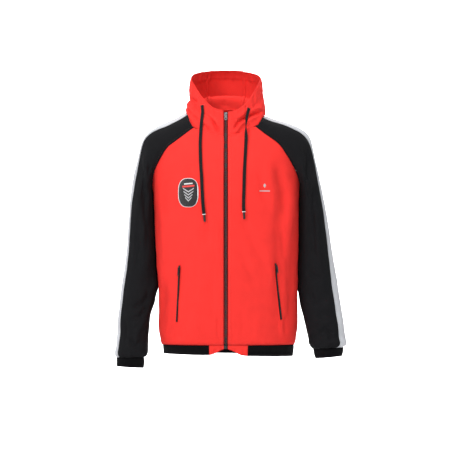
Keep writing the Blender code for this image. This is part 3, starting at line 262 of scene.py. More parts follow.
def jersey(name, base, deep, sheen, rough):
    """Sweatshirt knit: fine columns of stitches, a soft nap and slightly uneven dye, with painted shade in the
    stitches' hollows, in the folds' troughs and along the seams.
    """
    cloth = settings("hoodie_cloth")
    finish = Finish(name)
    height = knit_height(finish, cloth.wale)
    nap = finish.noise(0.0009, 3.0, roughness=0.7)
    cloud = finish.noise(0.045, 3.0)
    # The dip attribute is painted shade in the folds' troughs and along the seams.
    painted_shade = finish.attribute("dip")
    tone = finish.mix(cloud.span(0.3, 0.7) * 0.5, scaled(base, 0.94), scaled(base, 1.04))
    # Painted shade in the low parts of the knit stitches, with random darker fuzz of the nap.
    tone = finish.mix((1.0 - height) * 0.22 + (1.0 - nap) * 0.14, tone, deep)
    tone = finish.mix(painted_shade.span(0.0, 1.0) * 0.30, tone, deep)
    height = height * 0.7 + nap * 0.5
    return finish.surface(Base_Color=tone, Roughness=nap * 0.12 + (rough - 0.06), Sheen_Weight=sheen,
                          Sheen_Roughness=0.45, Sheen_Tint=shade(scaled(base, 1.4)), Specular_IOR_Level=0.10,
                          Normal=finish.bump(height, cloth.wale * 0.22))


def ribbing(name, base):
    """Rib knit: round ribs along the cloth, with painted shade in the groove between them."""
    cloth = settings("hoodie_cloth")
    finish = Finish(name)
    x, y, _ = finish.axes(finish.cloth_place())
    rib = (x * (math.pi / cloth.rib_pitch)).sine()
    round_rib = (rib * rib) ** 0.45
    loops = ((y / (cloth.wale * 0.8)) * math.tau).sine() * 0.5 + 0.5
    nap = finish.noise(0.0008, 3.0, roughness=0.7)
    # Painted shade in the grooves and a painted highlight on the ribs' crowns, with random fuzz of the nap.
    tone = finish.mix(round_rib * 0.8 + nap * 0.2, scaled(base, 0.35), scaled(base, 1.5))
    return finish.surface(Base_Color=tone, Roughness=nap * 0.1 + 0.78, Sheen_Weight=0.012, Sheen_Roughness=0.4,
                          Specular_IOR_Level=0.06, Normal=finish.bump(
                              round_rib + loops * round_rib * 0.16 + nap * 0.1, cloth.rib_pitch * 0.34))


def webbing(name, base, pitch):
    """Woven tape or flat cord: a herringbone of fine slanted threads, with painted shade between the threads.
    """
    finish = Finish(name)
    x, y, _ = finish.axes(finish.cloth_place())
    column = abs((x / (pitch * 4.0)).part() - 0.5)
    slant = ((y / pitch + column * 4.0) * math.tau).sine() * 0.5 + 0.5
    thread = ((x / pitch) * math.tau).sine() * 0.5 + 0.5
    weave = slant * 0.7 + thread * 0.3
    # Painted shade where the weave lies low, and a painted highlight on the raised threads.
    tone = finish.mix(weave, scaled(base, 0.45), scaled(base, 1.7))
    return finish.surface(Base_Color=tone, Roughness=weave * -0.12 + 0.66, Sheen_Weight=0.03,
                          Sheen_Roughness=0.35, Specular_IOR_Level=0.18,
                          Normal=finish.bump(weave, pitch * 0.35))


def metal(name, base):
    """Gunmetal zip parts: cast, tumbled, and rubbed brighter in random patches."""
    finish = Finish(name)
    rub = finish.noise(0.004, 4.0, roughness=0.65)
    grain = finish.noise(0.0006, 2.0)
    tone = finish.mix(rub.span(0.35, 0.7), scaled(base, 0.55), scaled(base, 1.25))
    return finish.surface(Base_Color=tone, Metallic=1.0, Roughness=rub * 0.16 + 0.26,
                          Normal=finish.bump(rub * 0.6 + grain * 0.4, 0.00008))


def moulded(name, base):
    """Moulded nylon: teeth, coils and the drawstrings' tips."""
    finish = Finish(name)
    grain = finish.noise(0.0012, 3.0)
    tone = finish.mix(grain.span(0.3, 0.7), scaled(base, 0.8), scaled(base, 1.6))
    return finish.surface(Base_Color=tone, Roughness=grain * 0.14 + 0.34, Specular_IOR_Level=0.5,
                          Normal=finish.bump(grain, 0.00006))


def thread(name, base):
    """Twisted sewing thread."""
    finish = Finish(name)
    fuzz = finish.noise(0.0005, 2.0)
    tone = finish.mix(fuzz, scaled(base, 0.7), scaled(base, 1.35))
    return finish.surface(Base_Color=tone, Roughness=fuzz * 0.1 + 0.62, Sheen_Weight=0.1,
                          Normal=finish.bump(fuzz, 0.00008))


def satin_thread(name, base, angle, pitch=0.00055):
    """Filling stitches of an embroidered shape, laid side by side at an angle, with painted shade between the
    stitches.
    """
    finish = Finish(name)
    x, _, z = finish.axes(finish.object_place())
    along = x * (math.cos(angle) / pitch) + z * (math.sin(angle) / pitch)
    lie = (along * math.tau).sine() * 0.5 + 0.5
    fuzz = finish.noise(0.0007, 2.0)
    # Painted shade between the laid stitches and a painted highlight on their tops, with random fuzz.
    tone = finish.mix(lie * 0.8 + fuzz * 0.2, scaled(base, 0.55), scaled(base, 1.2))
    return finish.surface(Base_Color=tone, Roughness=lie * -0.12 + 0.58, Sheen_Weight=0.15,
                          Normal=finish.bump(lie * 0.8 + fuzz * 0.3, 0.00022))


def plaster(name, base):
    """A matt, evenly painted studio wall and floor."""
    finish = Finish(name)
    cloud = finish.noise(0.6, 2.0)
    tone = finish.mix(cloud * 0.35, base, scaled(base, 0.985))
    return finish.surface(Base_Color=tone, Roughness=cloud * 0.05 + 0.85, Specular_IOR_Level=0.1)


# The materials, by the name that a piece asks for.
FINISHES = {}


def make_finishes():
    """Makes every material of the hoodie from the colours in the panel."""
    tones = settings("hoodie_colours")
    FINISHES.update(
        # Each jersey's second colour is its painted shade colour, for the stitches' hollows, the folds' troughs
        # and the seams.
        red_knit=jersey("red jersey", tones.red, scaled(tones.red, 0.42), sheen=0.10, rough=0.84),
        black_knit=jersey("black jersey", tones.black, scaled(tones.black, 0.35), sheen=0.05, rough=0.82),
        white_knit=jersey("white jersey", tones.white, scaled(tones.white, 0.72), sheen=0.10, rough=0.82),
        black_rib=ribbing("black rib", tones.rib),
        tape=webbing("zip tape", tones.tape, pitch=0.0011),
        cord=webbing("drawstring weave", scaled(tones.tape, 1.1), pitch=0.0013),
        nylon=moulded("black nylon", scaled(tones.tape, 0.7)),
        grey_metal=metal("grey metal", tones.metal),
        dark_metal=metal("dark metal", scaled(tones.metal, 0.36)),
        pale_band=moulded("pale band", (0.72, 0.70, 0.70)),
        red_thread=thread("red thread", scaled(tones.red, 0.74)),
        black_thread=thread("black thread", scaled(tones.black, 1.5)),
        white_thread=thread("white thread", scaled(tones.white, 0.92)),
        badge_field=satin_thread("badge field", scaled(tones.black, 0.8), angle=0.35),
        badge_white=satin_thread("badge white thread", (0.74, 0.75, 0.76), angle=1.35),
        badge_red=satin_thread("badge red thread", tones.red, angle=1.35),
        badge_silver=satin_thread("badge silver thread", tones.silver, angle=0.9),
    )


# ---------------------------------------------------------------- mesh helpers

# Edges of hard parts that turn by more than the first are rounded, and by more than the second look sharp.
ROUNDED_EDGE = math.radians(25.0)
HARD_EDGE = math.radians(38.0)


def empty_piece(name, finish, body="garment"):
    """A new object at the origin with one finish."""
    mesh = bpy.data.meshes.new(name)
    piece = bpy.data.objects.new(name, mesh)
    bpy.context.scene.collection.objects.link(piece)
    mesh.materials.append(FINISHES[finish])
    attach(piece, body)
    return piece


def fill_piece(piece, made, smooth=True):
    """Puts a bmesh into a piece's mesh."""
    for face in made.faces:
        face.smooth = smooth
    made.to_mesh(piece.data)
    made.free()
    piece.data.update()
    return piece


def points_of(items, key="co", width=3):
    """A property of many points, as rows of numbers."""
    found = np.empty(len(items) * width)
    items.foreach_get(key, found)
    return found.reshape(-1, width)


def kd_tree(points):
    tree = KDTree(len(points))
    for index, point in enumerate(points):
        tree.insert(Vector(point), index)
    tree.balance()
    return tree


def distances(tree, points):
    """How far each point is from the nearest one in a tree."""
    return np.array([tree.find(Vector(p))[2] for p in points])


def merged_copy(node):
    """A bmesh of a CAD node, its loose triangles joined up."""
    made = bmesh.new()
    made.from_mesh(NODES[node].data)
    bmesh.ops.remove_doubles(made, verts=made.verts, dist=1e-5)
    return made


def flatten_facets(made, degrees=1.0):
    """Joins up the triangles that lie in one plane."""
    bmesh.ops.dissolve_limit(made, angle_limit=math.radians(degrees), verts=made.verts, edges=made.edges)


def bevelled_copy(name, node, finish, body, width, segments=2):
    """A CAD node again, with its sharp edges rounded."""
    made = merged_copy(node)
    flatten_facets(made)
    sharp = [e for e in made.edges if len(e.link_faces) == 2 and e.calc_face_angle(0.0) > ROUNDED_EDGE]
    bmesh.ops.bevel(made, geom=sharp, offset=width, offset_type="OFFSET", segments=segments, profile=0.5,
                    affect="EDGES", material=-1, clamp_overlap=True)
    bmesh.ops.triangulate(made, faces=[f for f in made.faces if len(f.verts) > 4])
    piece = fill_piece(empty_piece(name, finish, body), made)
    piece.data.set_sharp_from_angle(angle=HARD_EDGE)
    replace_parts(piece, node)
    return piece


def standing(point, out, ahead, lift=0.0):
    """A matrix at a point: x across, y straight out and z ahead, lift metres out of it."""
    out = (out - ahead * out.dot(ahead)).normalized()
    return Matrix.Translation(point + out * lift) @ Matrix((out.cross(ahead), out, ahead)).transposed().to_4x4()


def way_ahead(line, index):
    return (line[min(index + 1, len(line) - 1)] - line[max(index - 1, 0)]).normalized()


def catmull(points, steps):
    """Points along a smooth curve through the given ones, steps to each stretch."""
    points = [Vector(p) for p in points]
    ends = [points[0] * 2 - points[1]] + points + [points[-1] * 2 - points[-2]]
    found = []
    for a, b, c, d in zip(ends, ends[1:], ends[2:], ends[3:]):
        for step in range(steps):
            t = step / steps
            found.append(0.5 * ((2 * b) + (c - a) * t + (2 * a - 5 * b + 4 * c - d) * t * t
                                + (3 * b - a - 3 * c + d) * t ** 3))
    return found + [points[-1]]


def resample(points, spacing):
    """Points at even steps of about the spacing, along a line of points."""
    line = np.array([tuple(p) for p in points])
    steps = np.concatenate(([0.0], np.cumsum(np.linalg.norm(np.diff(line, axis=0), axis=1))))
    count = max(2, int(round(steps[-1] / spacing)) + 1)
    at = np.linspace(0.0, steps[-1], count)
    return [Vector(p) for p in np.stack([np.interp(at, steps, line[:, k]) for k in range(3)], axis=1)]


def smooth_step(value):
    """Eases from 0 to 1 while the value goes from 0 to 1."""
    value = np.clip(value, 0.0, 1.0)
    return value * value * (3.0 - 2.0 * value)


def hump(far, width):
    """One at no distance, fading out over about the width to both sides."""
    return np.exp(-(far / width) ** 2)


def wander(values, pace, row, layer=0.0):
    """Smooth noise from -1 to 1 along a row of numbers."""
    return np.array([noise.noise(Vector((value * pace, row, layer))) for value in values])


# ---------------------------------------------------------------- cloth

# The CAD solids' three cloth thicknesses, by which the edges across a wall are told from the others.
WALLS = (0.0018, 0.0026, 0.0034)
WALL_SLACK = 1.2e-6

# A corner of the cloth stays sharp within the first, and a fine skin's edge turns at it within the second.
CORNER_REACH = 0.004
TURN_REACH = 0.0012

# A stretch of edge shorter than this is left unsewn.
SHORT_RUN = 0.012

# Where the middle of each arm runs: how high, and how far out from the hoodie's middle. It lies this far back.
ARM_BACK = 0.005
ARM_LINE = ((-0.20, 0.235), (-0.35, 0.247), (-0.50, 0.268), (-0.75, 0.292))


def middle_of(name, point):
    """The middle of the body or the arm that a piece of cloth wraps round, level with a point."""
    if "sleeve" not in name and "cuff" not in name:
        return Vector((0.0, 0.0, point.z))
    side = "right" if name.endswith("right") else "left"
    down, out = zip(*reversed(ARM_LINE))
    level = min(point.z, ARM_LINE[0][0])
    return Vector((OUT[side] * float(np.interp(level, down, out)), ARM_BACK, level))


def islands(made):
    """The faces of a bmesh, in connected groups."""
    left, groups = set(made.faces), []
    while left:
        group, edge = set(), [left.pop()]
        while edge:
            face = edge.pop()
            group.add(face)
            for near in (f for e in face.edges for f in e.link_faces):
                if near in left:
                    left.discard(near)
                    edge.append(near)
        groups.append(group)
    return groups


def outer_skin(name):
    """The outward side of a cloth solid, as quads."""
    made = merged_copy(name)
    walls = {e for e in made.edges if any(abs(e.calc_length() - wall) < WALL_SLACK for wall in WALLS)}
    bmesh.ops.delete(made, geom=[f for f in made.faces if walls.intersection(f.edges)], context="FACES")

    def outwardness(group):
        centres = [(f, f.calc_center_median()) for f in group]
        return sum(f.calc_area() * f.normal.dot(centre - middle_of(name, centre)) for f, centre in centres)
    groups = sorted(islands(made), key=outwardness)
    if len(groups) < 2:
        raise RuntimeError(f"{name}: its two sides aren't apart")
    bmesh.ops.delete(made, geom=[f for g in groups[:-1] for f in g], context="FACES")
    bmesh.ops.join_triangles(made, faces=made.faces, cmp_seam=False, cmp_sharp=False, cmp_uvs=False,
                             cmp_vcols=False, cmp_materials=False,
                             angle_face_threshold=math.radians(70.0), angle_shape_threshold=math.radians(75.0))
    return made


def slit_line(made):
    """The edges of one line across a ring, from edge to edge, where the flat cloth is cut open."""
    start = min((v for v in made.verts if v.is_boundary), key=lambda v: (abs(v.co.x) - v.co.y * 0.5, v.co.z))
    edge = next(e for e in start.link_edges if not e.is_boundary)
    line, vert = [edge], edge.other_vert(start)
    while not vert.is_boundary:
        near = set(edge.link_faces)
        edge = next(e for e in vert.link_edges if not near & set(e.link_faces))
        line.append(edge)
        vert = edge.other_vert(vert)
    return line


# The flat size of these, and of a piece that fills less of its box than this share, is a straight strip's.
STRIPS = ("stripe", "cuff", "hem_rib", "centre")
CURVED_STRIP = 0.31


def lay_flat(piece):
    """Unwraps a piece into the flat cut, in metres, its length up the map. Gives its width, length and area."""
    mesh = piece.data
    bpy.ops.object.select_all(action="DESELECT")
    piece.select_set(True)
    bpy.context.view_layer.objects.active = piece
    bpy.ops.object.mode_set(mode="EDIT")
    bpy.ops.mesh.select_all(action="SELECT")
    bpy.ops.uv.unwrap(method="ANGLE_BASED", margin=0.0)
    bpy.ops.object.mode_set(mode="OBJECT")
    layer = mesh.uv_layers["cloth"]
    flat = points_of(layer.uv, "vector", 2)
    corner = np.empty(len(mesh.loops), dtype=int)
    mesh.loops.foreach_get("vertex_index", corner)
    height = points_of(mesh.vertices)[corner][:, 2]
    area = flat_area = 0.0
    for face in mesh.polygons:
        around = flat[list(face.loop_indices)]
        flat_area += 0.5 * abs(np.dot(around[:, 0], np.roll(around[:, 1], -1))
                               - np.dot(around[:, 1], np.roll(around[:, 0], -1)))
        area += face.area
    flat = (flat - flat.mean(axis=0)) * math.sqrt(area / flat_area)
    rise = np.linalg.lstsq(flat, height - height.mean(), rcond=None)[0]
    up = rise / np.linalg.norm(rise)
    flat = np.stack([flat @ np.array([up[1], -up[0]]), flat @ up], axis=1)
    layer.uv.foreach_set("vector", flat.ravel())
    size = flat.max(axis=0) - flat.min(axis=0)
    strip = any(word in piece.name for word in STRIPS)
    if strip or area < CURVED_STRIP * size[0] * size[1]:
        size = straight_strip(mesh, area)
    return float(size[0]), float(size[1]), float(area)


def straight_strip(mesh, area):
    """The width and length of the straight strip that has a curved strip's area and outline length."""
    uses = [0] * len(mesh.edges)
    for loop in mesh.loops:
        uses[loop.edge_index] += 1
    half = sum((mesh.vertices[e.vertices[0]].co - mesh.vertices[e.vertices[1]].co).length
               for e in mesh.edges if uses[e.index] == 1) / 2
    long = (half + math.sqrt(max(half * half - 4 * area, 0.0))) / 2
    return area / long, long


def through_its_points(piece):
    """Moves the coarse points so that the smoothed cloth passes through where they were."""
    mesh = piece.data
    wanted = points_of(mesh.vertices)
    coarse = wanted.copy()
    for _ in range(3):
        mesh.vertices.foreach_set("co", coarse.ravel())
        mesh.update()
        graph = bpy.context.evaluated_depsgraph_get()
        graph.update()
        made = piece.evaluated_get(graph).to_mesh()
        limit = points_of(made.vertices)[:len(coarse)]
        piece.evaluated_get(graph).to_mesh_clear()
        coarse = coarse + (wanted - limit) * 0.9
    mesh.vertices.foreach_set("co", coarse.ravel())
    mesh.update()


def apply_modifiers(piece):
    """Puts the mesh that a piece's modifiers make in the place of its own."""
    graph = bpy.context.evaluated_depsgraph_get()
    graph.update()
    made = bpy.data.meshes.new_from_object(piece.evaluated_get(graph), preserve_all_data_layers=True,
                                           depsgraph=graph)
    old, name = piece.data, piece.data.name
    piece.modifiers.clear()
    piece.data = made
    bpy.data.meshes.remove(old)
    made.name = name


def smoothed(piece, skin, corners):
    """Fills a piece from its coarse skin and subdivides it. Gives the flat cut's width, length and area."""
    skin.verts.ensure_lookup_table()
    crease = skin.verts.layers.float.new("crease_vert")
    for vert in skin.verts:
        if vert.is_boundary and corners.find(vert.co)[2] < CORNER_REACH:
            vert[crease] = 1.0
    if not any(v.is_boundary and len(v.link_faces) == 1 for v in skin.verts):
        for edge in slit_line(skin):
            edge.seam = True
    skin.loops.layers.uv.new("cloth")
    fill_piece(piece, skin)
    flat = lay_flat(piece)
    level = settings("hoodie_cloth").level
    modifier = piece.modifiers.new("smooth", "SUBSURF")
    modifier.boundary_smooth = "PRESERVE_CORNERS"
    modifier.uv_smooth = "PRESERVE_BOUNDARIES"
    modifier.levels = modifier.render_levels = 1
    through_its_points(piece)
    modifier.levels = modifier.render_levels = level
    apply_modifiers(piece)
    return flat


# The folds' heights below are all deepened by the first; the second is the normal's y where cloth is side on.
FOLD_DEPTH = 1.25
SIDE_ON = 0.02


class Drape:
    """The points of a fine piece of cloth, which are moved along its outward normals."""

    def __init__(self, piece):
        self.piece, mesh = piece, piece.data
        self.at = points_of(mesh.vertices)
        self.out = points_of(mesh.vertex_normals, "vector")
        self.rise = np.zeros(len(self.at))
        # For each point: how far its seams' dip and painted seam shade are hushed, and its distance from the
        # cloth's edge, from a seam to another family of pieces, and, on the front, to the side from the zip.
        self.quiet = np.zeros(len(self.at))
        self.edge = self.edge_distance()
        self.seam = distances(RIMS[piece.name.removesuffix("_cloth")], self.at)
        self.zip = np.where(self.at[:, 1] < 0.0, np.abs(self.at[:, 0] - ZIP_X), 1.0)

    def edge_distance(self):
        """How far each point is from the nearest edge of the cloth."""
        made = bmesh.new()
        made.from_mesh(self.piece.data)
        rim = [v.co.copy() for v in made.verts if v.is_boundary]
        made.free()
        return distances(kd_tree(rim), self.at)

    def fold(self, fold, keep):
        """One soft crease, along a line seen from the front or the back. keep is each point's share of it."""
        line = np.array(fold.line)
        flat = self.at[:, [0, 2]]
        best = np.full(len(flat), 9.0)
        share = np.zeros(len(flat))
        steps = np.linalg.norm(np.diff(line, axis=0), axis=1)
        done, total = 0.0, steps.sum()
        for start, end, step in zip(line, line[1:], steps):
            way = (end - start) / step
            along = np.clip((flat - start) @ way, 0.0, step)
            far = np.linalg.norm(flat - start - along[:, None] * way, axis=1)
            nearer = far < best
            best[nearer] = far[nearer]
            share[nearer] = (done + along[nearer]) / total
            done += step
        ends = smooth_step(share / fold.fade) * smooth_step((1.0 - share) / fold.fade)
        facing = smooth_step((self.out[:, 1] * (1 if fold.behind else -1) - SIDE_ON) / 0.45)
        self.rise += hump(best, fold.width) * ends * facing * fold.height * FOLD_DEPTH * keep

    def settle(self):
        """Moves the points, and keeps for the cloth's finish how much painted shade each point gets: more in
        the folds' troughs and near the cloth's edge at the seams.
        """
        moved = self.at + self.out * self.rise[:, None]
        mesh = self.piece.data
        mesh.vertices.foreach_set("co", moved.ravel())
        # The attribute named dip holds painted shade: the colour is darkened in the folds' troughs and along
        # the cloth's edge at seams, and less at the hushed front neck.
        dip = mesh.attributes.new("dip", "FLOAT", "POINT")
        painted_shade_amount = smooth_step(-self.rise / 0.006) * 0.35 + hump(self.edge, 0.0022) * 0.75 * (1.0 - self.quiet)
        dip.data.foreach_set("value", np.clip(painted_shade_amount, 0.0, 1.0).astype(np.float32))
        mesh.update()


def outline_runs(piece, corners):
    """The edges of a fine skin, each from corner to corner, as (place, outward, into the cloth) by point."""
    made = bmesh.new()
    made.from_mesh(piece.data)
    made.verts.ensure_lookup_table()
    left = dict.fromkeys(v for v in made.verts if v.is_boundary)
    turns = {v for v in left if corners.find(v.co)[2] < TURN_REACH}
    runs = []
    while left:
        start = next((v for v in left if v in turns), None) or next(iter(left))
        run, vert = [start], start
        left.pop(start)
        while vert is not None:
            near = [e.other_vert(vert) for e in vert.link_edges if e.is_boundary]
            ahead = next((v for v in near if v in left), None)
            if ahead is None:
                run += [v for v in near if v in turns and v not in run][:1]
                break
            run.append(ahead)
            left.pop(ahead)
            vert = ahead
            if vert in turns:
                runs.append(run)
                run = [vert]
        runs.append(run)
    found = [[edge_place(v) for v in run] for run in runs]
    made.free()
    return [run for run in found if len(run) > 2 and run_length(run) > SHORT_RUN]


def edge_place(vert):
    """A point of a fine skin's edge: its place, the way out of the cloth, and the way into the cloth."""
    into = sum(((e.other_vert(vert).co - vert.co) for e in vert.link_edges if not e.is_boundary), Vector())
    along = [e.other_vert(vert).co - vert.co for e in vert.link_edges if e.is_boundary]
    line = (along[0] - along[-1]).normalized() if len(along) > 1 else along[0].normalized()
    into -= line * into.dot(line)
    return vert.co.copy(), vert.normal.copy(), into.normalized()


def run_length(run):
    return sum((b[0] - a[0]).length for a, b in zip(run, run[1:]))


def lumps(points, size, seed):
    """Smooth noise from -1 to 1, its lumps about size metres across."""
    shift = Vector((seed * 3.7, seed * 1.3, seed * 5.1))
    return np.array([noise.noise(Vector(p) / size + shift) for p in points])


def give_wall(piece, thickness, thick_share=None):
    """Gives a skin its thickness, inwards. thick_share is how much of it each point gets."""
    modifier = piece.modifiers.new("wall", "SOLIDIFY")
    modifier.thickness = thickness
    modifier.offset = -1.0
    if thick_share is not None:
        group = piece.vertex_groups.new(name="wall")
        for index, share in enumerate(thick_share):
            group.add([index], float(share), "REPLACE")
        modifier.vertex_group = "wall"
        modifier.thickness_vertex_group = 0.0
    apply_modifiers(piece)
    piece.vertex_groups.clear()


# ---------------------------------------------------------------- folds, placed one by one

class Fold:
    """A crease through (x, z) places, in metres: a trough where its height is below zero, else a ridge."""

    def __init__(self, line, width, height, behind=False, fade=0.3):
        self.line, self.width, self.height, self.behind, self.fade = line, width, height, behind, fade


BODY_FOLDS = {
    "front_panel_left": (
        Fold(((0.134, -0.130), (0.152, -0.175), (0.166, -0.240), (0.169, -0.330)), 0.0130, -0.0060, fade=0.35),
        Fold(((0.112, -0.135), (0.126, -0.180), (0.137, -0.260), (0.141, -0.330)), 0.0120, 0.0036),
        Fold(((0.186, -0.190), (0.194, -0.270), (0.194, -0.360)), 0.0120, 0.0034),
        Fold(((0.176, -0.330), (0.182, -0.430), (0.186, -0.560), (0.184, -0.650)), 0.0130, -0.0048),
        Fold(((0.160, -0.340), (0.166, -0.390), (0.168, -0.440)), 0.0080, -0.0034),
        Fold(((0.092, -0.165), (0.104, -0.215), (0.110, -0.270)), 0.0110, -0.0024),
        Fold(((0.030, -0.270), (0.062, -0.350), (0.104, -0.430), (0.134, -0.500)), 0.0160, -0.0026),
        Fold(((0.028, -0.380), (0.060, -0.450), (0.092, -0.530)), 0.0150, -0.0022),
        Fold(((0.024, -0.060), (0.050, -0.052), (0.074, -0.060)), 0.0070, -0.0030),
        Fold(((0.020, -0.073), (0.046, -0.066), (0.070, -0.078)), 0.0080, 0.0022),
        Fold(((0.180, -0.585), (0.172, -0.615), (0.176, -0.650)), 0.0070, -0.0026),
        Fold(((0.168, -0.600), (0.160, -0.630), (0.163, -0.660)), 0.0060, 0.0018),
        Fold(((0.040, -0.560), (0.050, -0.620), (0.046, -0.668)), 0.0120, -0.0020),
        Fold(((0.090, -0.600), (0.096, -0.668)), 0.0110, 0.0020),
        Fold(((0.013, -0.615), (0.015, -0.650), (0.019, -0.690)), 0.0060, -0.0034, fade=0.35),
    ),
    "front_panel_right": (
        Fold(((-0.176, -0.190), (-0.182, -0.260), (-0.176, -0.330)), 0.0130, -0.0032),
        Fold(((-0.058, -0.250), (-0.054, -0.330), (-0.058, -0.420)), 0.0130, -0.0024),
        Fold(((-0.118, -0.400), (-0.128, -0.480), (-0.132, -0.560)), 0.0140, -0.0022),
        Fold(((-0.180, -0.480), (-0.186, -0.580), (-0.188, -0.660)), 0.0130, -0.0046),
        Fold(((-0.196, -0.440), (-0.203, -0.560), (-0.204, -0.650)), 0.0100, 0.0026),
        Fold(((-0.038, -0.440), (-0.046, -0.530), (-0.030, -0.640)), 0.0150, -0.0026),
        Fold(((-0.020, -0.300), (-0.026, -0.400), (-0.020, -0.470)), 0.0080, 0.0016),
        Fold(((-0.080, -0.560), (-0.090, -0.620), (-0.084, -0.668)), 0.0120, 0.0022),
        Fold(((-0.130, -0.610), (-0.140, -0.668)), 0.0110, -0.0024),
        Fold(((-0.100, -0.150), (-0.108, -0.205)), 0.0120, -0.0018),
        Fold(((-0.024, -0.585), (-0.018, -0.630), (-0.015, -0.690)), 0.0070, -0.0046, fade=0.35),
    ),
    "back_panel": (
        Fold(((-0.060, -0.120), (-0.080, -0.230), (-0.070, -0.360)), 0.0160, -0.0040, True),
        Fold(((0.050, -0.100), (0.080, -0.200), (0.090, -0.330)), 0.0170, -0.0042, True),
        Fold(((0.000, -0.180), (0.006, -0.300), (-0.004, -0.420)), 0.0180, 0.0032, True),
        Fold(((-0.160, -0.200), (-0.150, -0.320), (-0.164, -0.460)), 0.0140, -0.0058, True),
        Fold(((0.164, -0.190), (0.152, -0.300), (0.166, -0.450)), 0.0140, -0.0056, True),
        Fold(((-0.130, -0.400), (-0.060, -0.520), (-0.050, -0.650)), 0.0160, -0.0040, True),
        Fold(((0.140, -0.380), (0.080, -0.500), (0.050, -0.640)), 0.0170, -0.0042, True),
        Fold(((-0.100, -0.480), (-0.110, -0.660)), 0.0150, 0.0032, True),
        Fold(((0.100, -0.500), (0.114, -0.660)), 0.0150, 0.0032, True),
        Fold(((-0.184, -0.440), (-0.190, -0.660)), 0.0120, -0.0040, True),
        Fold(((0.186, -0.440), (0.190, -0.660)), 0.0120, -0.0040, True),
    ),
}

ARM_FOLDS = {
    "right": (
        Fold(((-0.250, -0.128), (-0.242, -0.200), (-0.236, -0.270), (-0.232, -0.350)), 0.0080, -0.0052),
        Fold(((-0.241, -0.108), (-0.229, -0.180), (-0.224, -0.250)), 0.0070, 0.0032),
        Fold(((-0.236, -0.112), (-0.220, -0.185), (-0.214, -0.260), (-0.207, -0.350)), 0.0080, -0.0056),
        Fold(((-0.222, -0.230), (-0.212, -0.300), (-0.210, -0.400)), 0.0070, -0.0046),
        Fold(((-0.247, -0.260), (-0.240, -0.330), (-0.244, -0.420)), 0.0090, 0.0036),
        Fold(((-0.262, -0.330), (-0.256, -0.400), (-0.262, -0.470)), 0.0090, -0.0030),
        Fold(((-0.215, -0.520), (-0.240, -0.560), (-0.280, -0.572)), 0.0085, -0.0050),
        Fold(((-0.222, -0.560), (-0.250, -0.598), (-0.286, -0.604)), 0.0080, -0.0040),
        Fold(((-0.230, -0.600), (-0.256, -0.640), (-0.272, -0.700)), 0.0070, 0.0032),
        Fold(((-0.300, -0.585), (-0.292, -0.640), (-0.298, -0.690)), 0.0075, -0.0038),
        Fold(((-0.285, -0.655), (-0.270, -0.680), (-0.250, -0.690)), 0.0060, -0.0040),
        Fold(((-0.262, -0.690), (-0.240, -0.676), (-0.228, -0.680)), 0.0055, 0.0030),
        Fold(((-0.205, -0.420), (-0.222, -0.490), (-0.226, -0.560)), 0.0090, -0.0036),
        Fold(((-0.250, -0.130), (-0.236, -0.230), (-0.246, -0.340)), 0.0110, -0.0056, True),
        Fold(((-0.226, -0.180), (-0.218, -0.290), (-0.222, -0.400)), 0.0100, -0.0050, True),
        Fold(((-0.215, -0.430), (-0.250, -0.470), (-0.290, -0.468)), 0.0100, -0.0060, True),
        Fold(((-0.220, -0.500), (-0.255, -0.530), (-0.298, -0.520)), 0.0095, -0.0054, True),
        Fold(((-0.240, -0.620), (-0.276, -0.652), (-0.306, -0.646)), 0.0080, -0.0044, True),
        Fold(((-0.180, -0.060), (-0.214, -0.090), (-0.236, -0.150)), 0.0120, -0.0034, True),
    ),
    "left": (
        Fold(((0.229, -0.092), (0.240, -0.140), (0.236, -0.210), (0.232, -0.300)), 0.0075, -0.0060),
        Fold(((0.240, -0.100), (0.249, -0.160), (0.251, -0.240)), 0.0070, 0.0030),
        Fold(((0.254, -0.170), (0.256, -0.240), (0.252, -0.330), (0.262, -0.410)), 0.0080, -0.0048),
        Fold(((0.214, -0.235), (0.218, -0.205), (0.228, -0.190), (0.237, -0.200), (0.238, -0.250)),
             0.0055, 0.0042, fade=0.2),
        Fold(((0.224, -0.215), (0.224, -0.270), (0.220, -0.340)), 0.0070, -0.0056),
        Fold(((0.209, -0.200), (0.206, -0.260), (0.206, -0.330)), 0.0065, -0.0050),
        Fold(((0.240, -0.270), (0.246, -0.360), (0.262, -0.450)), 0.0100, -0.0046),
        Fold(((0.262, -0.330), (0.276, -0.430), (0.290, -0.510)), 0.0110, 0.0030),
        Fold(((0.216, -0.430), (0.250, -0.480), (0.290, -0.490)), 0.0110, -0.0034),
        Fold(((0.232, -0.520), (0.262, -0.556), (0.300, -0.560)), 0.0100, -0.0040),
        Fold(((0.252, -0.600), (0.282, -0.620), (0.312, -0.610)), 0.0080, 0.0030),
        Fold(((0.268, -0.648), (0.290, -0.636), (0.318, -0.646)), 0.0070, -0.0042),
        Fold(((0.276, -0.668), (0.300, -0.658)), 0.0060, 0.0028),
        Fold(((0.244, -0.120), (0.236, -0.220), (0.250, -0.330)), 0.0110, -0.0056, True),
        Fold(((0.222, -0.190), (0.222, -0.300), (0.232, -0.410)), 0.0100, -0.0050, True),
        Fold(((0.224, -0.440), (0.264, -0.478), (0.308, -0.472)), 0.0100, -0.0058, True),
        Fold(((0.234, -0.510), (0.276, -0.540), (0.318, -0.524)), 0.0095, -0.0054, True),
        Fold(((0.262, -0.610), (0.296, -0.632), (0.330, -0.622)), 0.0080, -0.0044, True),
        Fold(((0.176, -0.058), (0.212, -0.088), (0.238, -0.150)), 0.0120, -0.0034, True),
    ),
}

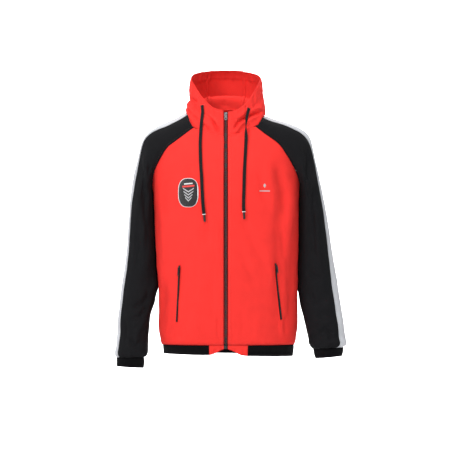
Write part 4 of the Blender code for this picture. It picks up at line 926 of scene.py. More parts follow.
HOOD_FOLDS = (
    Fold(((0.118, 0.003), (0.090, -0.005), (0.064, -0.016), (0.038, -0.031), (0.020, -0.061)), 0.0046, -0.0088,
         fade=0.22),
    Fold(((0.110, 0.013), (0.082, 0.006), (0.054, -0.006), (0.032, -0.022)), 0.0062, 0.0046, fade=0.3),
    Fold(((0.104, -0.012), (0.076, -0.022), (0.050, -0.036), (0.034, -0.052)), 0.0068, 0.0036, fade=0.3),
    Fold(((0.072, -0.030), (0.050, -0.043), (0.036, -0.060)), 0.0050, -0.0034),
    Fold(((-0.108, 0.041), (-0.094, 0.033), (-0.080, 0.026)), 0.0042, -0.0044),
    Fold(((-0.118, 0.024), (-0.100, 0.014), (-0.082, 0.000)), 0.0055, -0.0030),
    Fold(((-0.117, 0.008), (-0.104, -0.006), (-0.090, -0.022)), 0.0045, -0.0036),
    Fold(((-0.112, -0.012), (-0.102, -0.022), (-0.090, -0.030)), 0.0042, -0.0032),
    Fold(((-0.098, -0.010), (-0.086, -0.020), (-0.076, -0.032)), 0.0042, -0.0030),
    Fold(((-0.054, -0.014), (-0.036, -0.034), (-0.024, -0.058), (-0.020, -0.072)), 0.0046, -0.0074),
    Fold(((-0.046, -0.014), (-0.028, -0.032), (-0.018, -0.052)), 0.0056, 0.0026),
    Fold(((-0.076, -0.030), (-0.058, -0.048), (-0.042, -0.062)), 0.0056, -0.0040),
    Fold(((0.074, -0.038), (0.052, -0.052), (0.034, -0.066), (0.024, -0.076)), 0.0050, -0.0036),
    Fold(((0.062, -0.056), (0.046, -0.064), (0.032, -0.078)), 0.0050, 0.0026),
    Fold(((-0.050, 0.000), (-0.036, -0.012), (-0.026, -0.028)), 0.0070, -0.0018),
    Fold(((0.100, 0.070), (0.106, 0.045), (0.112, 0.020)), 0.0090, -0.0030),
    Fold(((-0.050, 0.060), (-0.070, 0.010), (-0.060, -0.060)), 0.0140, -0.0050, True),
    Fold(((0.055, 0.060), (0.070, 0.000), (0.062, -0.070)), 0.0140, -0.0052, True),
    Fold(((-0.010, 0.070), (0.000, 0.000), (-0.006, -0.080)), 0.0160, 0.0040, True),
    Fold(((-0.096, 0.040), (-0.100, -0.010), (-0.080, -0.050)), 0.0120, -0.0040, True),
    Fold(((0.096, 0.046), (0.102, 0.000), (0.086, -0.050)), 0.0120, -0.0042, True),
)


TAB_FOLDS = (
    Fold(((0.014, -0.684), (0.020, -0.712)), 0.0030, -0.0034),
    Fold(((0.030, -0.683), (0.026, -0.712)), 0.0035, -0.0030),
    Fold(((0.042, -0.683), (0.046, -0.712)), 0.0035, 0.0020),
    Fold(((-0.016, -0.684), (-0.010, -0.708)), 0.0034, -0.0036),
    Fold(((-0.034, -0.683), (-0.030, -0.712)), 0.0035, -0.0030),
)


# ---------------------------------------------------------------- the cloth pieces

# Each cloth piece of the CAD part, and its family. Pieces of one family share their creases.
CLOTH = {"front_panel_right": "body", "front_panel_left": "body", "back_panel": "body",
         "sleeve_front_right": "arm", "sleeve_stripe_right": "arm", "sleeve_back_right": "arm",
         "sleeve_front_left": "arm", "sleeve_stripe_left": "arm", "sleeve_back_left": "arm",
         "cuff_right": "cuff", "cuff_left": "cuff", "hem_rib": "hem", "hem_tab_right": "hem",
         "hem_tab_left": "hem", "hood_side_right": "hood", "hood_centre": "hood", "hood_side_left": "hood"}

# Filled on the way, by piece: the coarse skin, a tree of the seams to other families, the fine skin's
# edges, and a tree of its faces.
SKINS = {}
RIMS = {}
SEAMS = {}
FACES = {}

# Edges of two pieces nearer than this are sewn together. A seam is followed in this many steps an edge.
SEWN = 0.004
SEAM_STEPS = 12
NEAREST_EDGES = 8

# The zip's edge of the hood is nearer the middle than this, and stands for a seam that isn't there.
HOOD_AT_ZIP = 0.014
NOWHERE = (9.0, 9.0, 9.0)

# The cloth beside the zip lies over its tapes: how deep it may go there, and where the tapes end.
OVER_TAPE = 0.0008
TAPE_END = 0.0185

# The front neck seam: its lowest place, and how far it goes to each side.
NECK_LOW = -0.088
NECK_END = 0.084


def near_segment(point, start, end):
    """How far a point is from a stretch of an edge."""
    way = end - start
    share = min(max((point - start).dot(way) / max(way.length_squared, 1e-12), 0.0), 1.0)
    return (point - start - way * share).length


def test_of_touching(segments):
    """A test of whether a point lies on one of these stretches of edge."""
    middles = kd_tree([(a + b) / 2 for a, b in segments])

    def touches(point):
        near = middles.find_n(point, NEAREST_EDGES)
        return any(near_segment(point, *segments[index]) < SEWN for _, index, _ in near)
    return touches


def steps_between(start, end):
    return [start.lerp(end, step / SEAM_STEPS) for step in range(SEAM_STEPS + 1)]


def prepare_cloth():
    """The coarse skins, their corners, and the seams where each family of pieces meets the others."""
    for name in CLOTH:
        SKINS[name] = outer_skin(name)
    edges = {name: [(e.verts[0].co.copy(), e.verts[1].co.copy()) for e in made.edges if e.is_boundary]
             for name, made in SKINS.items()}
    turns = [v.co.copy() for made in SKINS.values() for v in made.verts
             if v.is_boundary and len(v.link_faces) == 1]
    for name, family in CLOTH.items():
        foreign = test_of_touching([s for n, found in edges.items() if CLOTH[n] != family for s in found])
        joined = [(a, b, foreign(a), foreign(b)) for a, b in edges[name]]
        turns += [(a if at_a else b).copy() for a, b, at_a, at_b in joined if at_a != at_b]
        seam = [point for a, b, at_a, at_b in joined if at_a and at_b for point in steps_between(a, b)]
        RIMS[name] = kd_tree(seam or [NOWHERE])
    RIMS["corners"] = kd_tree(turns)
    RIMS["hood opening"] = kd_tree(opening_of_hood(edges))


def opening_of_hood(edges):
    """Points along the hood's open edge, which meets no other piece and isn't at the zip."""
    found = []
    for name in (n for n, family in CLOTH.items() if family == "hood"):
        joined = test_of_touching([s for n, segments in edges.items() if n != name for s in segments])
        for a, b in edges[name]:
            middle = (a + b) / 2
            if not joined(middle) and not (abs(middle.x) < HOOD_AT_ZIP and middle.y < 0.0):
                found += steps_between(a, b)
    return found


def start_sheet(name, finish):
    """A cloth piece as a smooth skin: the object, its flat cut's width, length and area, and its points."""
    piece = empty_piece(name + "_cloth", finish)
    flat = smoothed(piece, SKINS.pop(name), RIMS["corners"])
    return piece, flat, Drape(piece)


def finish_sheet(name, piece, flat, drape, thickness, thick_share=None):
    """Settles a cloth piece, keeps its edges and faces for the sewing, and gives it its wall."""
    drape.settle()
    SEAMS[name] = outline_runs(piece, RIMS["corners"])
    FACES[name] = skin_tree(piece)
    give_wall(piece, thickness, thick_share)
    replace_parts(piece, name)
    min(flat[2], flat[0] * flat[1])


def skin_tree(piece):
    mesh = piece.data
    return BVHTree.FromPolygons([v.co for v in mesh.vertices], [tuple(f.vertices) for f in mesh.polygons])


def soften(drape, folds, amount=1.0):
    """The creases and slight unevenness that every piece of a family shares, so that its seams stay shut."""
    cloth = settings("hoodie_cloth")
    keep = smooth_step(drape.seam / 0.016)
    if folds is HOOD_FOLDS:
        keep = np.maximum(keep, drape.quiet) * clear_of_zip(drape)
    for fold in folds:
        drape.fold(fold, keep)
    broad, fine = lumps(drape.at, 0.060, 1.0), lumps(drape.at, 0.026, 2.0)
    drape.rise += (broad * 1.1 + fine * 0.45) * cloth.crumple * amount * keep
    flat_on = smooth_step((np.abs(drape.out[:, 1]) + np.abs(drape.out[:, 2]) - 0.3) / 0.4)
    drape.rise -= cloth.seam_dip * flat_on * hump(drape.edge, 0.0030) * (1.0 - drape.quiet)


def clear_of_zip(drape):
    """Nought beside the front zip and one a little away from it."""
    return smooth_step((drape.zip - 0.007) / 0.008)


def hush_neck(drape):
    """The front neck seam is covered by the cloth's own roll, so it hardly shows: its dip and its painted seam
    shade are hushed.
    """
    along = smooth_step((NECK_END - drape.zip) / 0.006) * smooth_step((drape.zip - 0.006) / 0.003)
    on_front = smooth_step((-0.02 - drape.at[:, 1]) / 0.02)
    drape.quiet = smooth_step((drape.at[:, 2] - NECK_LOW) / 0.010) * along * on_front


def over_tapes(drape):
    """Keeps the cloth in front of the zip's tapes."""
    drape.rise = np.maximum(drape.rise, -OVER_TAPE - smooth_step((drape.zip - TAPE_END) / 0.007) * 0.02)


def clear_of_cords(drape):
    """Keeps the cloth's ridges low where a drawstring lies on them."""
    far = distances(kd_tree([point for side in SIDES for point in route(side)[0]]), drape.at)
    drape.rise -= np.maximum(drape.rise - 0.0003, 0.0) * np.exp(-(far / 0.011) ** 4)


def gathers(drape, across, far, reach, waves, height, seed):
    """Puckers that run away from a gathered seam. across goes round it, far is the distance from it."""
    uneven = wander(across, 2.3, seed)
    size = 0.55 + 0.45 * wander(across, 5.1, seed, 4.0)
    fade = np.exp(-(np.maximum(far, 0.0) / reach) ** 1.5)
    drape.rise += np.sin(across * waves + uneven * 7.0) * size * height * fade


def make_body():
    cloth = settings("hoodie_cloth")
    folds = [f for found in BODY_FOLDS.values() for f in found]
    for name in ("front_panel_right", "front_panel_left", "back_panel"):
        piece, flat, drape = start_sheet(name, "red_knit")
        front = name != "back_panel"
        if front:
            hush_neck(drape)
            for fold in HOOD_FOLDS:
                drape.fold(fold, drape.quiet * clear_of_zip(drape))
        soften(drape, folds)
        # The neck's edge goes up a little under the hood's roll.
        drape.at[:, 2] += 0.0013 * drape.quiet * hump(drape.edge, 0.004)
        # The rib gathers the cloth, which blouses just over it.
        round_body = np.arctan2(drape.at[:, 0], -drape.at[:, 1])
        above = drape.at[:, 2] - RIB_TOP
        gathers(drape, round_body, above, reach=0.030, waves=34.0, height=0.0007, seed=3.0)
        drape.rise += 0.0016 * hump(above - 0.010, 0.009)
        if front:
            # The stitches along the zip press the cloth down, and it waves slightly beside them.
            drape.rise -= 0.0007 * hump(drape.zip - 0.0125, 0.0022)
            wave = np.array([noise.noise(Vector((3.0, z * 14.0, 1.0 if x > 0 else 8.0)))
                             for x, _, z in drape.at])
            drape.rise += 0.0009 * wave * hump(drape.zip - 0.010, 0.012)
        clear_of_cords(drape)
        over_tapes(drape)
        finish_sheet(name, piece, flat, drape, cloth.wall)


# A sleeve may touch the body between two heights. The gap is taken at even steps from one to the other, each
# from the cloth in a band round it.
TOUCH_LOW = -0.545
TOUCH_HIGH = -0.120
TOUCH_STEP = 0.006
TOUCH_BAND = 0.007

# The sleeve comes in by the gap and a slack, with more of it above the armpit's level, up to a limit.
TOUCH_SLACK = 0.0014
ARMPIT_SLACK = 0.0024
ARMPIT_Z = -0.212
TOUCH_MOST = 0.0055


def gap_to_body(side, panel, inner):
    """How far the sleeve's inner face has to come in to touch a panel below the armpit, by height."""
    body = points_of(bpy.data.objects[panel + "_cloth"].data.vertices)
    body = body[body[:, 0] * OUT[side] > 0.0]
    levels = np.arange(TOUCH_LOW, TOUCH_HIGH, TOUCH_STEP)
    gaps = []
    for level in levels:
        out = np.abs(body[np.abs(body[:, 2] - level) < TOUCH_BAND, 0]).max()
        near = np.abs(inner[np.abs(inner[:, 2] - level) < TOUCH_BAND, 0]).min()
        more = TOUCH_SLACK + ARMPIT_SLACK * float(smooth_step((level - ARMPIT_Z) / 0.010))
        gaps.append(min(max(near - out + more, 0.0), TOUCH_MOST))
    shown = smooth_step((levels + 0.535) / 0.030) * smooth_step((-0.140 - levels) / 0.014)
    return levels, np.array(gaps) * shown


def make_sleeves():
    cloth = settings("hoodie_cloth")
    down, out = np.array(ARM_LINE[::-1]).T
    for side in SIDES:
        cuff_z = float(min(v.co.z for v in SKINS["sleeve_front_" + side].verts))
        for part, finish in (("front", "black_knit"), ("stripe", "white_knit"), ("back", "black_knit")):
            name = f"sleeve_{part}_{side}"
            piece, flat, drape = start_sheet(name, finish)
            soften(drape, ARM_FOLDS[side], 1.15)
            # The cuff gathers the cloth, which blouses just over it.
            middle = np.interp(drape.at[:, 2], down, out) * OUT[side]
            round_arm = np.arctan2(drape.at[:, 0] - middle, -drape.at[:, 1])
            above = drape.at[:, 2] - cuff_z
            gathers(drape, round_arm, above, reach=0.026, waves=13.0, height=0.0016, seed=5.0 + OUT[side])
            drape.rise += 0.0022 * hump(above - 0.014, 0.011)
            # The side turned to the body is smooth and touches it, so no light comes between them.
            panel = "back_panel" if part == "back" else "front_panel_" + side
            levels, gaps = gap_to_body(side, panel, drape.at)
            inward = (part != "stripe") * smooth_step((-drape.out[:, 0] * OUT[side] - 0.25) / 0.45)
            drape.rise = drape.rise * (1.0 - inward * smooth_step((drape.at[:, 2] + 0.56) / 0.04)) \
                + np.interp(drape.at[:, 2], levels, gaps, left=0.0, right=0.0) * inward
            finish_sheet(name, piece, flat, drape, cloth.wall)


# The depth of the hood's folded edge at its row of stitches, and where its thick wall starts to thin.
CASING_SEAM = 0.0265
CASING_END = 0.024


def make_hood():
    cloth = settings("hoodie_cloth")
    for name in ("hood_side_right", "hood_centre", "hood_side_left"):
        piece, flat, drape = start_sheet(name, "red_knit")
        hush_neck(drape)
        soften(drape, HOOD_FOLDS, 1.2)
        rim = distances(RIMS["hood opening"], drape.at)
        round_rim = np.arctan2(drape.at[:, 0], -(drape.at[:, 1] - 0.02))
        in_casing = smooth_step(rim / 0.006) * (1.0 - smooth_step((rim - 0.027) / 0.012)) \
            * smooth_step((drape.zip - 0.016) / 0.012)
        # The drawstring gathers the casing into soft waves with sharper puckers between them.
        uneven = wander(round_rim, 3.0, 2.0)
        size = 0.6 + 0.6 * wander(round_rim, 4.0, 9.0)
        drape.rise += np.sin(round_rim * 31.0 + uneven * 8.0) * size * 0.0012 * in_casing
        pucker = (1.0 - np.abs(np.sin(round_rim * 23.0 + uneven * 5.0))) ** 3
        drape.rise -= pucker * size * 0.0040 * in_casing
        drape.rise -= 0.0008 * hump(rim - CASING_SEAM, 0.0026)
        clear_of_cords(drape)
        over_tapes(drape)
        share = cloth.wall / cloth.casing
        thick = share + (1.0 - share) * (1.0 - smooth_step((rim - CASING_END) / 0.004))
        finish_sheet(name, piece, flat, drape, cloth.casing, thick)
    for side in SIDES:
        make_buttonhole(side)


def turns_of(count):
    """Angles all the way round, in even steps."""
    return [2.0 * math.pi * step / count for step in range(count)]


def make_buttonhole(side):
    """A stitched slit in the hood's casing, where the drawstring comes out."""
    half_width, half_height = 0.0074, 0.0024
    end = frames_along(*route(side))[0]
    ring = [end @ Vector((math.cos(turn) * half_width, 0.0, math.sin(turn) * half_height))
            for turn in turns_of(32)]
    around = [FACES["hood_side_" + side].find_nearest(point)[:2] for point in ring]
    made = closed_sweep(around, lift=0.0006, width=0.0018, height=0.0016)
    fill_piece(empty_piece("buttonhole_" + side, "red_thread"), made)


def make_ribs():
    cloth = settings("hoodie_cloth")
    for name in ("cuff_right", "cuff_left", "hem_rib"):
        piece, flat, drape = start_sheet(name, "black_rib")
        soften(drape, (), 0.8)
        drape.rise += 0.0010 * lumps(drape.at, 0.022, 6.0) * smooth_step(drape.edge / 0.006)
        finish_sheet(name, piece, flat, drape, cloth.rib)
    for name in ("hem_tab_right", "hem_tab_left"):
        piece, flat, drape = start_sheet(name, "red_knit")
        soften(drape, TAB_FOLDS, 0.8)
        # Slightly wider and higher than its solid, so that it meets the zip, the rib and the panel.
        middle = (drape.at[:, 0].min() + drape.at[:, 0].max()) / 2
        drape.at[:, 0] = middle + (drape.at[:, 0] - middle) * 1.022
        drape.at[:, 2] += 0.0005 * hump(drape.edge, 0.002) * smooth_step((drape.at[:, 2] + 0.690) / 0.008)
        finish_sheet(name, piece, flat, drape, cloth.wall)


# ---------------------------------------------------------------- drawstrings

# Each goes out of its slit in the hood and down the chest: x, y, z in metres, and the way its broad side
# faces in degrees from straight ahead. The left one makes half a twist below its slit.
DRAWSTRINGS = {
    "right": (
        (-0.0697, -0.0878, 0.0164, -33), (-0.0686, -0.0905, 0.0060, -33), (-0.0680, -0.0916, -0.0020, -30),
        (-0.0690, -0.0930, -0.0130, -26), (-0.0703, -0.0941, -0.0234, -22), (-0.0715, -0.0967, -0.0360, -18),
        (-0.0722, -0.0998, -0.0469, -14), (-0.0736, -0.1070, -0.0700, -10), (-0.0746, -0.1146, -0.0938, -9),
        (-0.0741, -0.1217, -0.1231, -8), (-0.0728, -0.1287, -0.1597, -8), (-0.0705, -0.1333, -0.1963, -7),
        (-0.0683, -0.1368, -0.2432, -6), (-0.0662, -0.1382, -0.2760, -5), (-0.0634, -0.1386, -0.3015, -5)),
    "left": (
        (0.0662, -0.0902, 0.0079, 32), (0.0645, -0.0928, 0.0000, 32), (0.0618, -0.0962, -0.0110, 36),
        (0.0596, -0.1013, -0.0240, 50), (0.0583, -0.1053, -0.0365, 72), (0.0577, -0.1078, -0.0475, 96),
        (0.0578, -0.1102, -0.0590, 128), (0.0583, -0.1122, -0.0720, 160), (0.0580, -0.1150, -0.0870, 182),
        (0.0573, -0.1180, -0.1010, 188), (0.0563, -0.1224, -0.1200, 188), (0.0548, -0.1277, -0.1480, 187),
        (0.0536, -0.1320, -0.1691, 187), (0.0527, -0.1352, -0.1980, 186), (0.0519, -0.1378, -0.2285, 186),
        (0.0510, -0.1392, -0.2578, 186), (0.0508, -0.1399, -0.2780, 186), (0.0517, -0.1400, -0.2940, 186)),
}


ROUTE_STEPS = 8


def route(side):
    """Where a drawstring runs, and the way it faces, at even steps."""
    table = DRAWSTRINGS[side]
    line = catmull([row[:3] for row in table], ROUTE_STEPS)
    rows = np.arange(len(line)) / ROUTE_STEPS
    return line, np.interp(rows, range(len(table)), [math.radians(row[3]) for row in table])


def frames_along(line, faces):
    """A matrix at each point of a flat strip's route: x across it, y out of its broad side, z ahead."""
    return [standing(point, Vector((math.sin(turn), -math.cos(turn), 0.0)), way_ahead(line, index))
            for index, (point, turn) in enumerate(zip(line, faces))]


def sweep(made, places, sizes, sides=16, power=0.55):
    """Extrudes a rounded flat section through the places. Its cloth map is metres across and along."""
    across = made.verts.layers.float.new("across")
    along = made.verts.layers.float.new("along")
    ring = bmesh.ops.create_circle(made, segments=sides, radius=1.0, cap_ends=False)["verts"]
    for vert in ring:
        x, y = vert.co.x, vert.co.y
        vert.co.x = math.copysign(abs(x) ** power, x) * sizes[0][0] / 2
        vert.co.y = math.copysign(abs(y) ** power, y) * sizes[0][1] / 2
        vert[across] = vert.co.x
    bmesh.ops.transform(made, verts=ring, matrix=places[0])
    first = edges = made.edges[:]
    far = 0.0
    for before, place, size, next_size in zip(places, places[1:], sizes, sizes[1:]):
        grown = bmesh.ops.extrude_edge_only(made, edges=edges)["geom"]
        ring = [g for g in grown if isinstance(g, bmesh.types.BMVert)]
        edges = [g for g in grown if isinstance(g, bmesh.types.BMEdge)]
        stretch = Matrix.Diagonal((next_size[0] / size[0], next_size[1] / size[1], 1.0, 1.0))
        bmesh.ops.transform(made, verts=ring, matrix=place @ stretch @ before.inverted())
        far += (place.translation - before.translation).length
        for vert in ring:
            vert[along] = far
    bmesh.ops.contextual_create(made, geom=first)
    bmesh.ops.contextual_create(made, geom=edges)
    map_cloth(made, lambda vert: (vert[across], vert[along]))
    bmesh.ops.recalc_face_normals(made, faces=made.faces)
    return made


def map_cloth(made, place):
    """Gives a mesh its cloth map, in metres, by a rule for each point."""
    layer = made.loops.layers.uv.new("cloth")
    for face in made.faces:
        for loop in face.loops:
            loop[layer].uv = place(loop.vert)


def make_drawstrings():
    trim = settings("hoodie_trim")
    for side in SIDES:
        line, faces = route(side)
        places = frames_along(line, faces)
        wave = 0.97 + 0.04 * wander(range(len(places)), 0.11, OUT[side])
        sizes = [(trim.cord_width * w, trim.cord_thickness) for w in wave]
        made = sweep(bmesh.new(), places, sizes)
        cord = fill_piece(empty_piece("drawstring_weave_" + side, "cord"), made)
        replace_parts(cord, "drawstring_" + side)
        run = sum((b - a).length for a, b in zip(line, line[1:]))
        tip = make_tip(side, places[-1])
        band = make_band(side, places[-1])


# Width and thickness of a drawstring's tip and of its band. Their forms are rows of how far along the cord's
# end a section is, and its share of that width and thickness.
TIP_SIZE = (0.0066, 0.0042)
TIP_FORM = ((0.0004, 0.86, 0.80), (0.0009, 0.97, 0.95), (0.0016, 1.0, 1.0), (0.0022, 0.95, 0.93),
            (0.0028, 1.0, 1.0), (0.0100, 1.0, 1.0), (0.0172, 0.98, 0.97), (0.0192, 0.92, 0.90),
            (0.0202, 0.78, 0.74), (0.0206, 0.50, 0.46))
BAND_SIZE = (0.0102, 0.0027)
BAND_FORM = ((-0.0022, 0.94, 0.94), (-0.0019, 1.04, 1.14), (-0.0006, 1.04, 1.16), (-0.0003, 0.94, 0.96))


def swept_form(end, form, size, power):
    places = [end @ Matrix.Translation((0.0, 0.0, far)) for far, _, _ in form]
    sizes = [(size[0] * width, size[1] * height) for _, width, height in form]
    return sweep(bmesh.new(), places, sizes, sides=20, power=power)


def make_tip(side, end):
    """A dipped, slightly flattened nylon tip, pressed round the cord's end."""
    made = swept_form(end, TIP_FORM, TIP_SIZE, power=0.8)
    piece = fill_piece(empty_piece("drawstring_cap_" + side, "nylon"), made)
    piece.data.set_sharp_from_angle(angle=math.radians(50.0))
    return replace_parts(piece, "drawstring_tip_" + side)


def make_band(side, end):
    """The thin pale band where the weave goes into the tip."""
    made = swept_form(end, BAND_FORM, BAND_SIZE, power=0.6)
    return fill_piece(empty_piece("drawstring_band_" + side, "pale_band"), made)


# ---------------------------------------------------------------- zips

def tape_copy(name, node, finish):
    """A woven zip tape over its CAD node, with its edges softened."""
    made = merged_copy(node)
    flatten_facets(made, 0.5)
    bmesh.ops.triangulate(made, faces=[f for f in made.faces if len(f.verts) > 4])
    map_cloth(made, lambda vert: (vert.co.x, vert.co.z))
    piece = fill_piece(empty_piece(name, finish), made)
    piece.data.set_sharp_from_angle(angle=math.radians(40.0))
    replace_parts(piece, node)


def centre_line(node, slices):
    """The middle of a long CAD node at even heights, from its top down."""
    places = points_of(NODES[node].data.vertices)
    low, high = places[:, 2].min(), places[:, 2].max()
    reach = (high - low) / slices
    found = []
    for level in np.linspace(high, low, slices + 1):
        near = places[np.abs(places[:, 2] - level) <= reach]
        if len(near):
            middle = (near.max(axis=0) + near.min(axis=0)) / 2
            found.append(Vector((middle[0], middle[1], level)))
    return found


BATCH = 80


def repeated(made, places):
    """Fills a mesh with copies of the small shape in it, one at each place, a batch at a time."""
    shape = bpy.data.meshes.new("shape")
    made.to_mesh(shape)
    made.clear()
    for start in range(0, len(places), BATCH):
        batch = bmesh.new()
        for place in places[start:start + BATCH]:
            before = len(batch.verts)
            batch.from_mesh(shape)
            batch.verts.ensure_lookup_table()
            bmesh.ops.transform(batch, verts=batch.verts[before:], matrix=place)
        part = bpy.data.meshes.new("part")
        batch.to_mesh(part)
        batch.free()
        made.from_mesh(part)
        bpy.data.meshes.remove(part)
    bpy.data.meshes.remove(shape)


def rail_places(line, pitch, across, out_of, lean=0.0):
    """Matrices along a line: x across it, y out of the cloth, z up it, every pitch and to each side in turn."""
    points = resample(line, pitch)
    found = []
    for index, (point, following) in enumerate(zip(points, points[1:])):
        side = -1.0 if index % 2 else 1.0
        found.append(standing(point, out_of(point), (point - following).normalized())
                     @ Matrix.Translation((side * across, 0.0, 0.0)) @ Matrix.Rotation(side * lean, 4, "Y"))
    return found


# A tooth of the front zip: its size, its bevel, and how far off the middle it is.
TOOTH = (0.0042, 0.0023, 0.0015)
TOOTH_BEVEL = 0.00035
TOOTH_OFFSET = 0.0011

# The cord that the teeth grip: its width and thickness, and how far it lies to the side and behind them.
BEADING = (0.0013, 0.0014)
BEADING_PLACE = (0.0040, 0.0004)

# Half a turn of a pocket zip's coil: its half sizes, how far off the middle and out of the cloth, its lean.
COIL = (0.0013, 0.0009, 0.0005)
COIL_OFFSET = 0.0007
COIL_LIFT = 0.0012
COIL_LEAN = 0.25

# How far the edges of the zips' cast bodies and of their pull tabs are bevelled.
BODY_BEVEL = 0.0004
POCKET_BODY_BEVEL = 0.0003
TAB_BEVEL = 0.00022

DOWN = Matrix.Rotation(math.pi, 4, "X")


def make_front_zip():
    trim = settings("hoodie_trim")
    line = centre_line("zip_chain", 60)
    made = bmesh.new()
    bmesh.ops.create_cube(made, size=1.0)
    bmesh.ops.scale(made, verts=made.verts, vec=TOOTH)
    bmesh.ops.bevel(made, geom=made.edges[:], offset=TOOTH_BEVEL, offset_type="OFFSET", segments=1, profile=0.5,
                    affect="EDGES", material=-1, clamp_overlap=True)
    repeated(made, rail_places(line, trim.tooth_pitch / 2, TOOTH_OFFSET, lambda point: AHEAD))
    teeth = fill_piece(empty_piece("front_zip_teeth", "nylon"), made, smooth=False)
    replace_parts(teeth, "zip_chain")
    for side in SIDES:
        tape_copy("front_zip_tape_" + side, "zip_tape_" + side, "tape")
        beside = Vector((OUT[side] * BEADING_PLACE[0], BEADING_PLACE[1], 0.0))
        places = [Matrix.Translation(point + beside) @ DOWN for point in resample(line, 0.012)]
        made = sweep(bmesh.new(), places, [BEADING] * len(places), sides=8, power=1.0)
        fill_piece(empty_piece("front_zip_beading_" + side, "tape"), made)
    bevelled_copy("front_zip_box", "zip_box", "nylon", "garment", BODY_BEVEL)
    bevelled_copy("front_zip_slider", "zip_slider", "grey_metal", "garment", BODY_BEVEL)
    bevelled_copy("front_zip_pull", "zip_pull", "grey_metal", "front_pull", TAB_BEVEL)


def make_pocket_zips():
    trim = settings("hoodie_trim")
    for side in SIDES:
        skin = FACES["front_panel_" + side]
        line = centre_line("pocket_zip_" + side, 24)

        def out_of(point):
            return skin.find_nearest(point)[1]
        made = bmesh.new()
        bmesh.ops.create_icosphere(made, subdivisions=1, radius=1.0)
        bmesh.ops.scale(made, verts=made.verts, vec=COIL)
        lift = Matrix.Translation((0.0, COIL_LIFT, 0.0))
        places = rail_places(line, trim.coil_pitch / 2, COIL_OFFSET, out_of, COIL_LEAN)
        repeated(made, [place @ lift for place in places])
        fill_piece(empty_piece("pocket_coil_" + side, "nylon"), made)
        tape_copy("pocket_tape_" + side, "pocket_zip_" + side, "tape")
        make_welt(side, line, out_of)
        bevelled_copy("pocket_zip_slider_" + side, "pocket_slider_" + side, "dark_metal",
                      "garment", POCKET_BODY_BEVEL)
        bevelled_copy("pocket_zip_pull_" + side, "pocket_pull_" + side, "dark_metal",
                      side + "_pocket_pull", TAB_BEVEL)


# The welt's middle line is this far to each side of a pocket zip, and past its ends.
WELT_BESIDE = 0.0041
WELT_PAST = 0.0022


def make_welt(side, line, out_of):
    """The red cloth's edge, turned under round the pocket zip and stitched down."""
    points = resample(line, 0.004)
    up = (points[0] - points[-1]).normalized()
    across = [out_of(point).cross(up).normalized() * WELT_BESIDE for point in points]
    ring = [point + beside for point, beside in zip(points, across)] + [points[-1] - up * WELT_PAST]
    ring += [point - beside for point, beside in zip(reversed(points), reversed(across))]
    ring += [points[0] + up * WELT_PAST]
    skin = FACES["front_panel_" + side]
    around = [skin.find_nearest(point)[:2] for point in catmull(ring + ring[:1], 2)[:-1]]
    made = closed_sweep(around, lift=0.0003, width=0.0019, height=0.0013)
    fill_piece(empty_piece("pocket_welt_" + side, "red_knit"), made)


def closed_sweep(around, lift, width, height):
    """A rounded band along a closed ring of places on the cloth, its ends joined up."""
    places = []
    for index, (at, out) in enumerate(around):
        ahead = (around[(index + 1) % len(around)][0] - around[index - 1][0]).normalized()
        places.append(standing(at, out, ahead, lift))
    places.append(places[0])
    made = sweep(bmesh.new(), places, [(width, height)] * len(places), sides=8, power=0.9)
    caps = [f for f in made.faces if len(f.verts) == 8]
    bmesh.ops.delete(made, geom=caps, context="FACES_ONLY")
    bmesh.ops.remove_doubles(made, verts=made.verts, dist=1e-6)
    bmesh.ops.recalc_face_normals(made, faces=made.faces)
    return made


# ---------------------------------------------------------------- badge and chest mark

# The badge's outline is a squarish oval of this power. The border's middle line is this far inside its edge.
BADGE_POWER = 2 / 2.7
BORDER_INSET = 0.0004

# In shares of half the badge's width and height: its two bars, and the height and half width of each chevron.
BARS = {"badge_white_band": ("badge_white", "white_trim", (0.64, 0.44, 0.045)),
        "badge_red_band": ("badge_red", "red_knit", (0.46, 0.62, 0.060))}
BAR_LEAN = 0.06
CHEVRONS = ((0.18, 0.56), (-0.04, 0.50), (-0.26, 0.42), (-0.47, 0.32))
CHEVRON_RISE, CHEVRON_THICK = 0.17, 0.080

# The chest mark: its place, and outlines round it in metres.
MARK_X, MARK_Z = 0.1120, -0.2190
LOZENGE = ((0.0, 0.0085), (0.0040, 0.0020), (0.0, -0.0045), (-0.0040, 0.0020))
MARK_BAR = ((-0.0150, -0.0150), (0.0150, -0.0150), (0.0150, -0.0122), (-0.0150, -0.0122))


def on_front(skin, x, z):
    """The place and the normal where a line straight back through x and z meets the front of a skin."""
    found = skin.ray_cast(Vector((x, -0.3, z)), -AHEAD)[:2]
    if found[0] is None:
        raise RuntimeError("a sewn-on shape is off its cloth")
    return found


def sewn_shapes(name, finish, skin, outlines, fineness, sunk, thickness):
    """Flat filled shapes that follow the cloth, from outlines in x and z."""
    made = bmesh.new()
    for outline in outlines:
        made.faces.new([made.verts.new((x, 0.0, z)) for x, z in outline])
    bmesh.ops.triangulate(made, faces=made.faces)
    for _ in range(fineness):
        bmesh.ops.subdivide_edges(made, edges=made.edges, cuts=1, use_grid_fill=True)
    for vert in made.verts:
        vert.co.y = on_front(skin, vert.co.x, vert.co.z)[0].y - sunk
    for face in made.faces:
        if face.normal.y > 0.0:
            face.normal_flip()
    bmesh.ops.solidify(made, geom=made.faces, thickness=thickness)
    bmesh.ops.recalc_face_normals(made, faces=made.faces)
    fill_piece(empty_piece(name, finish), made, smooth=False)


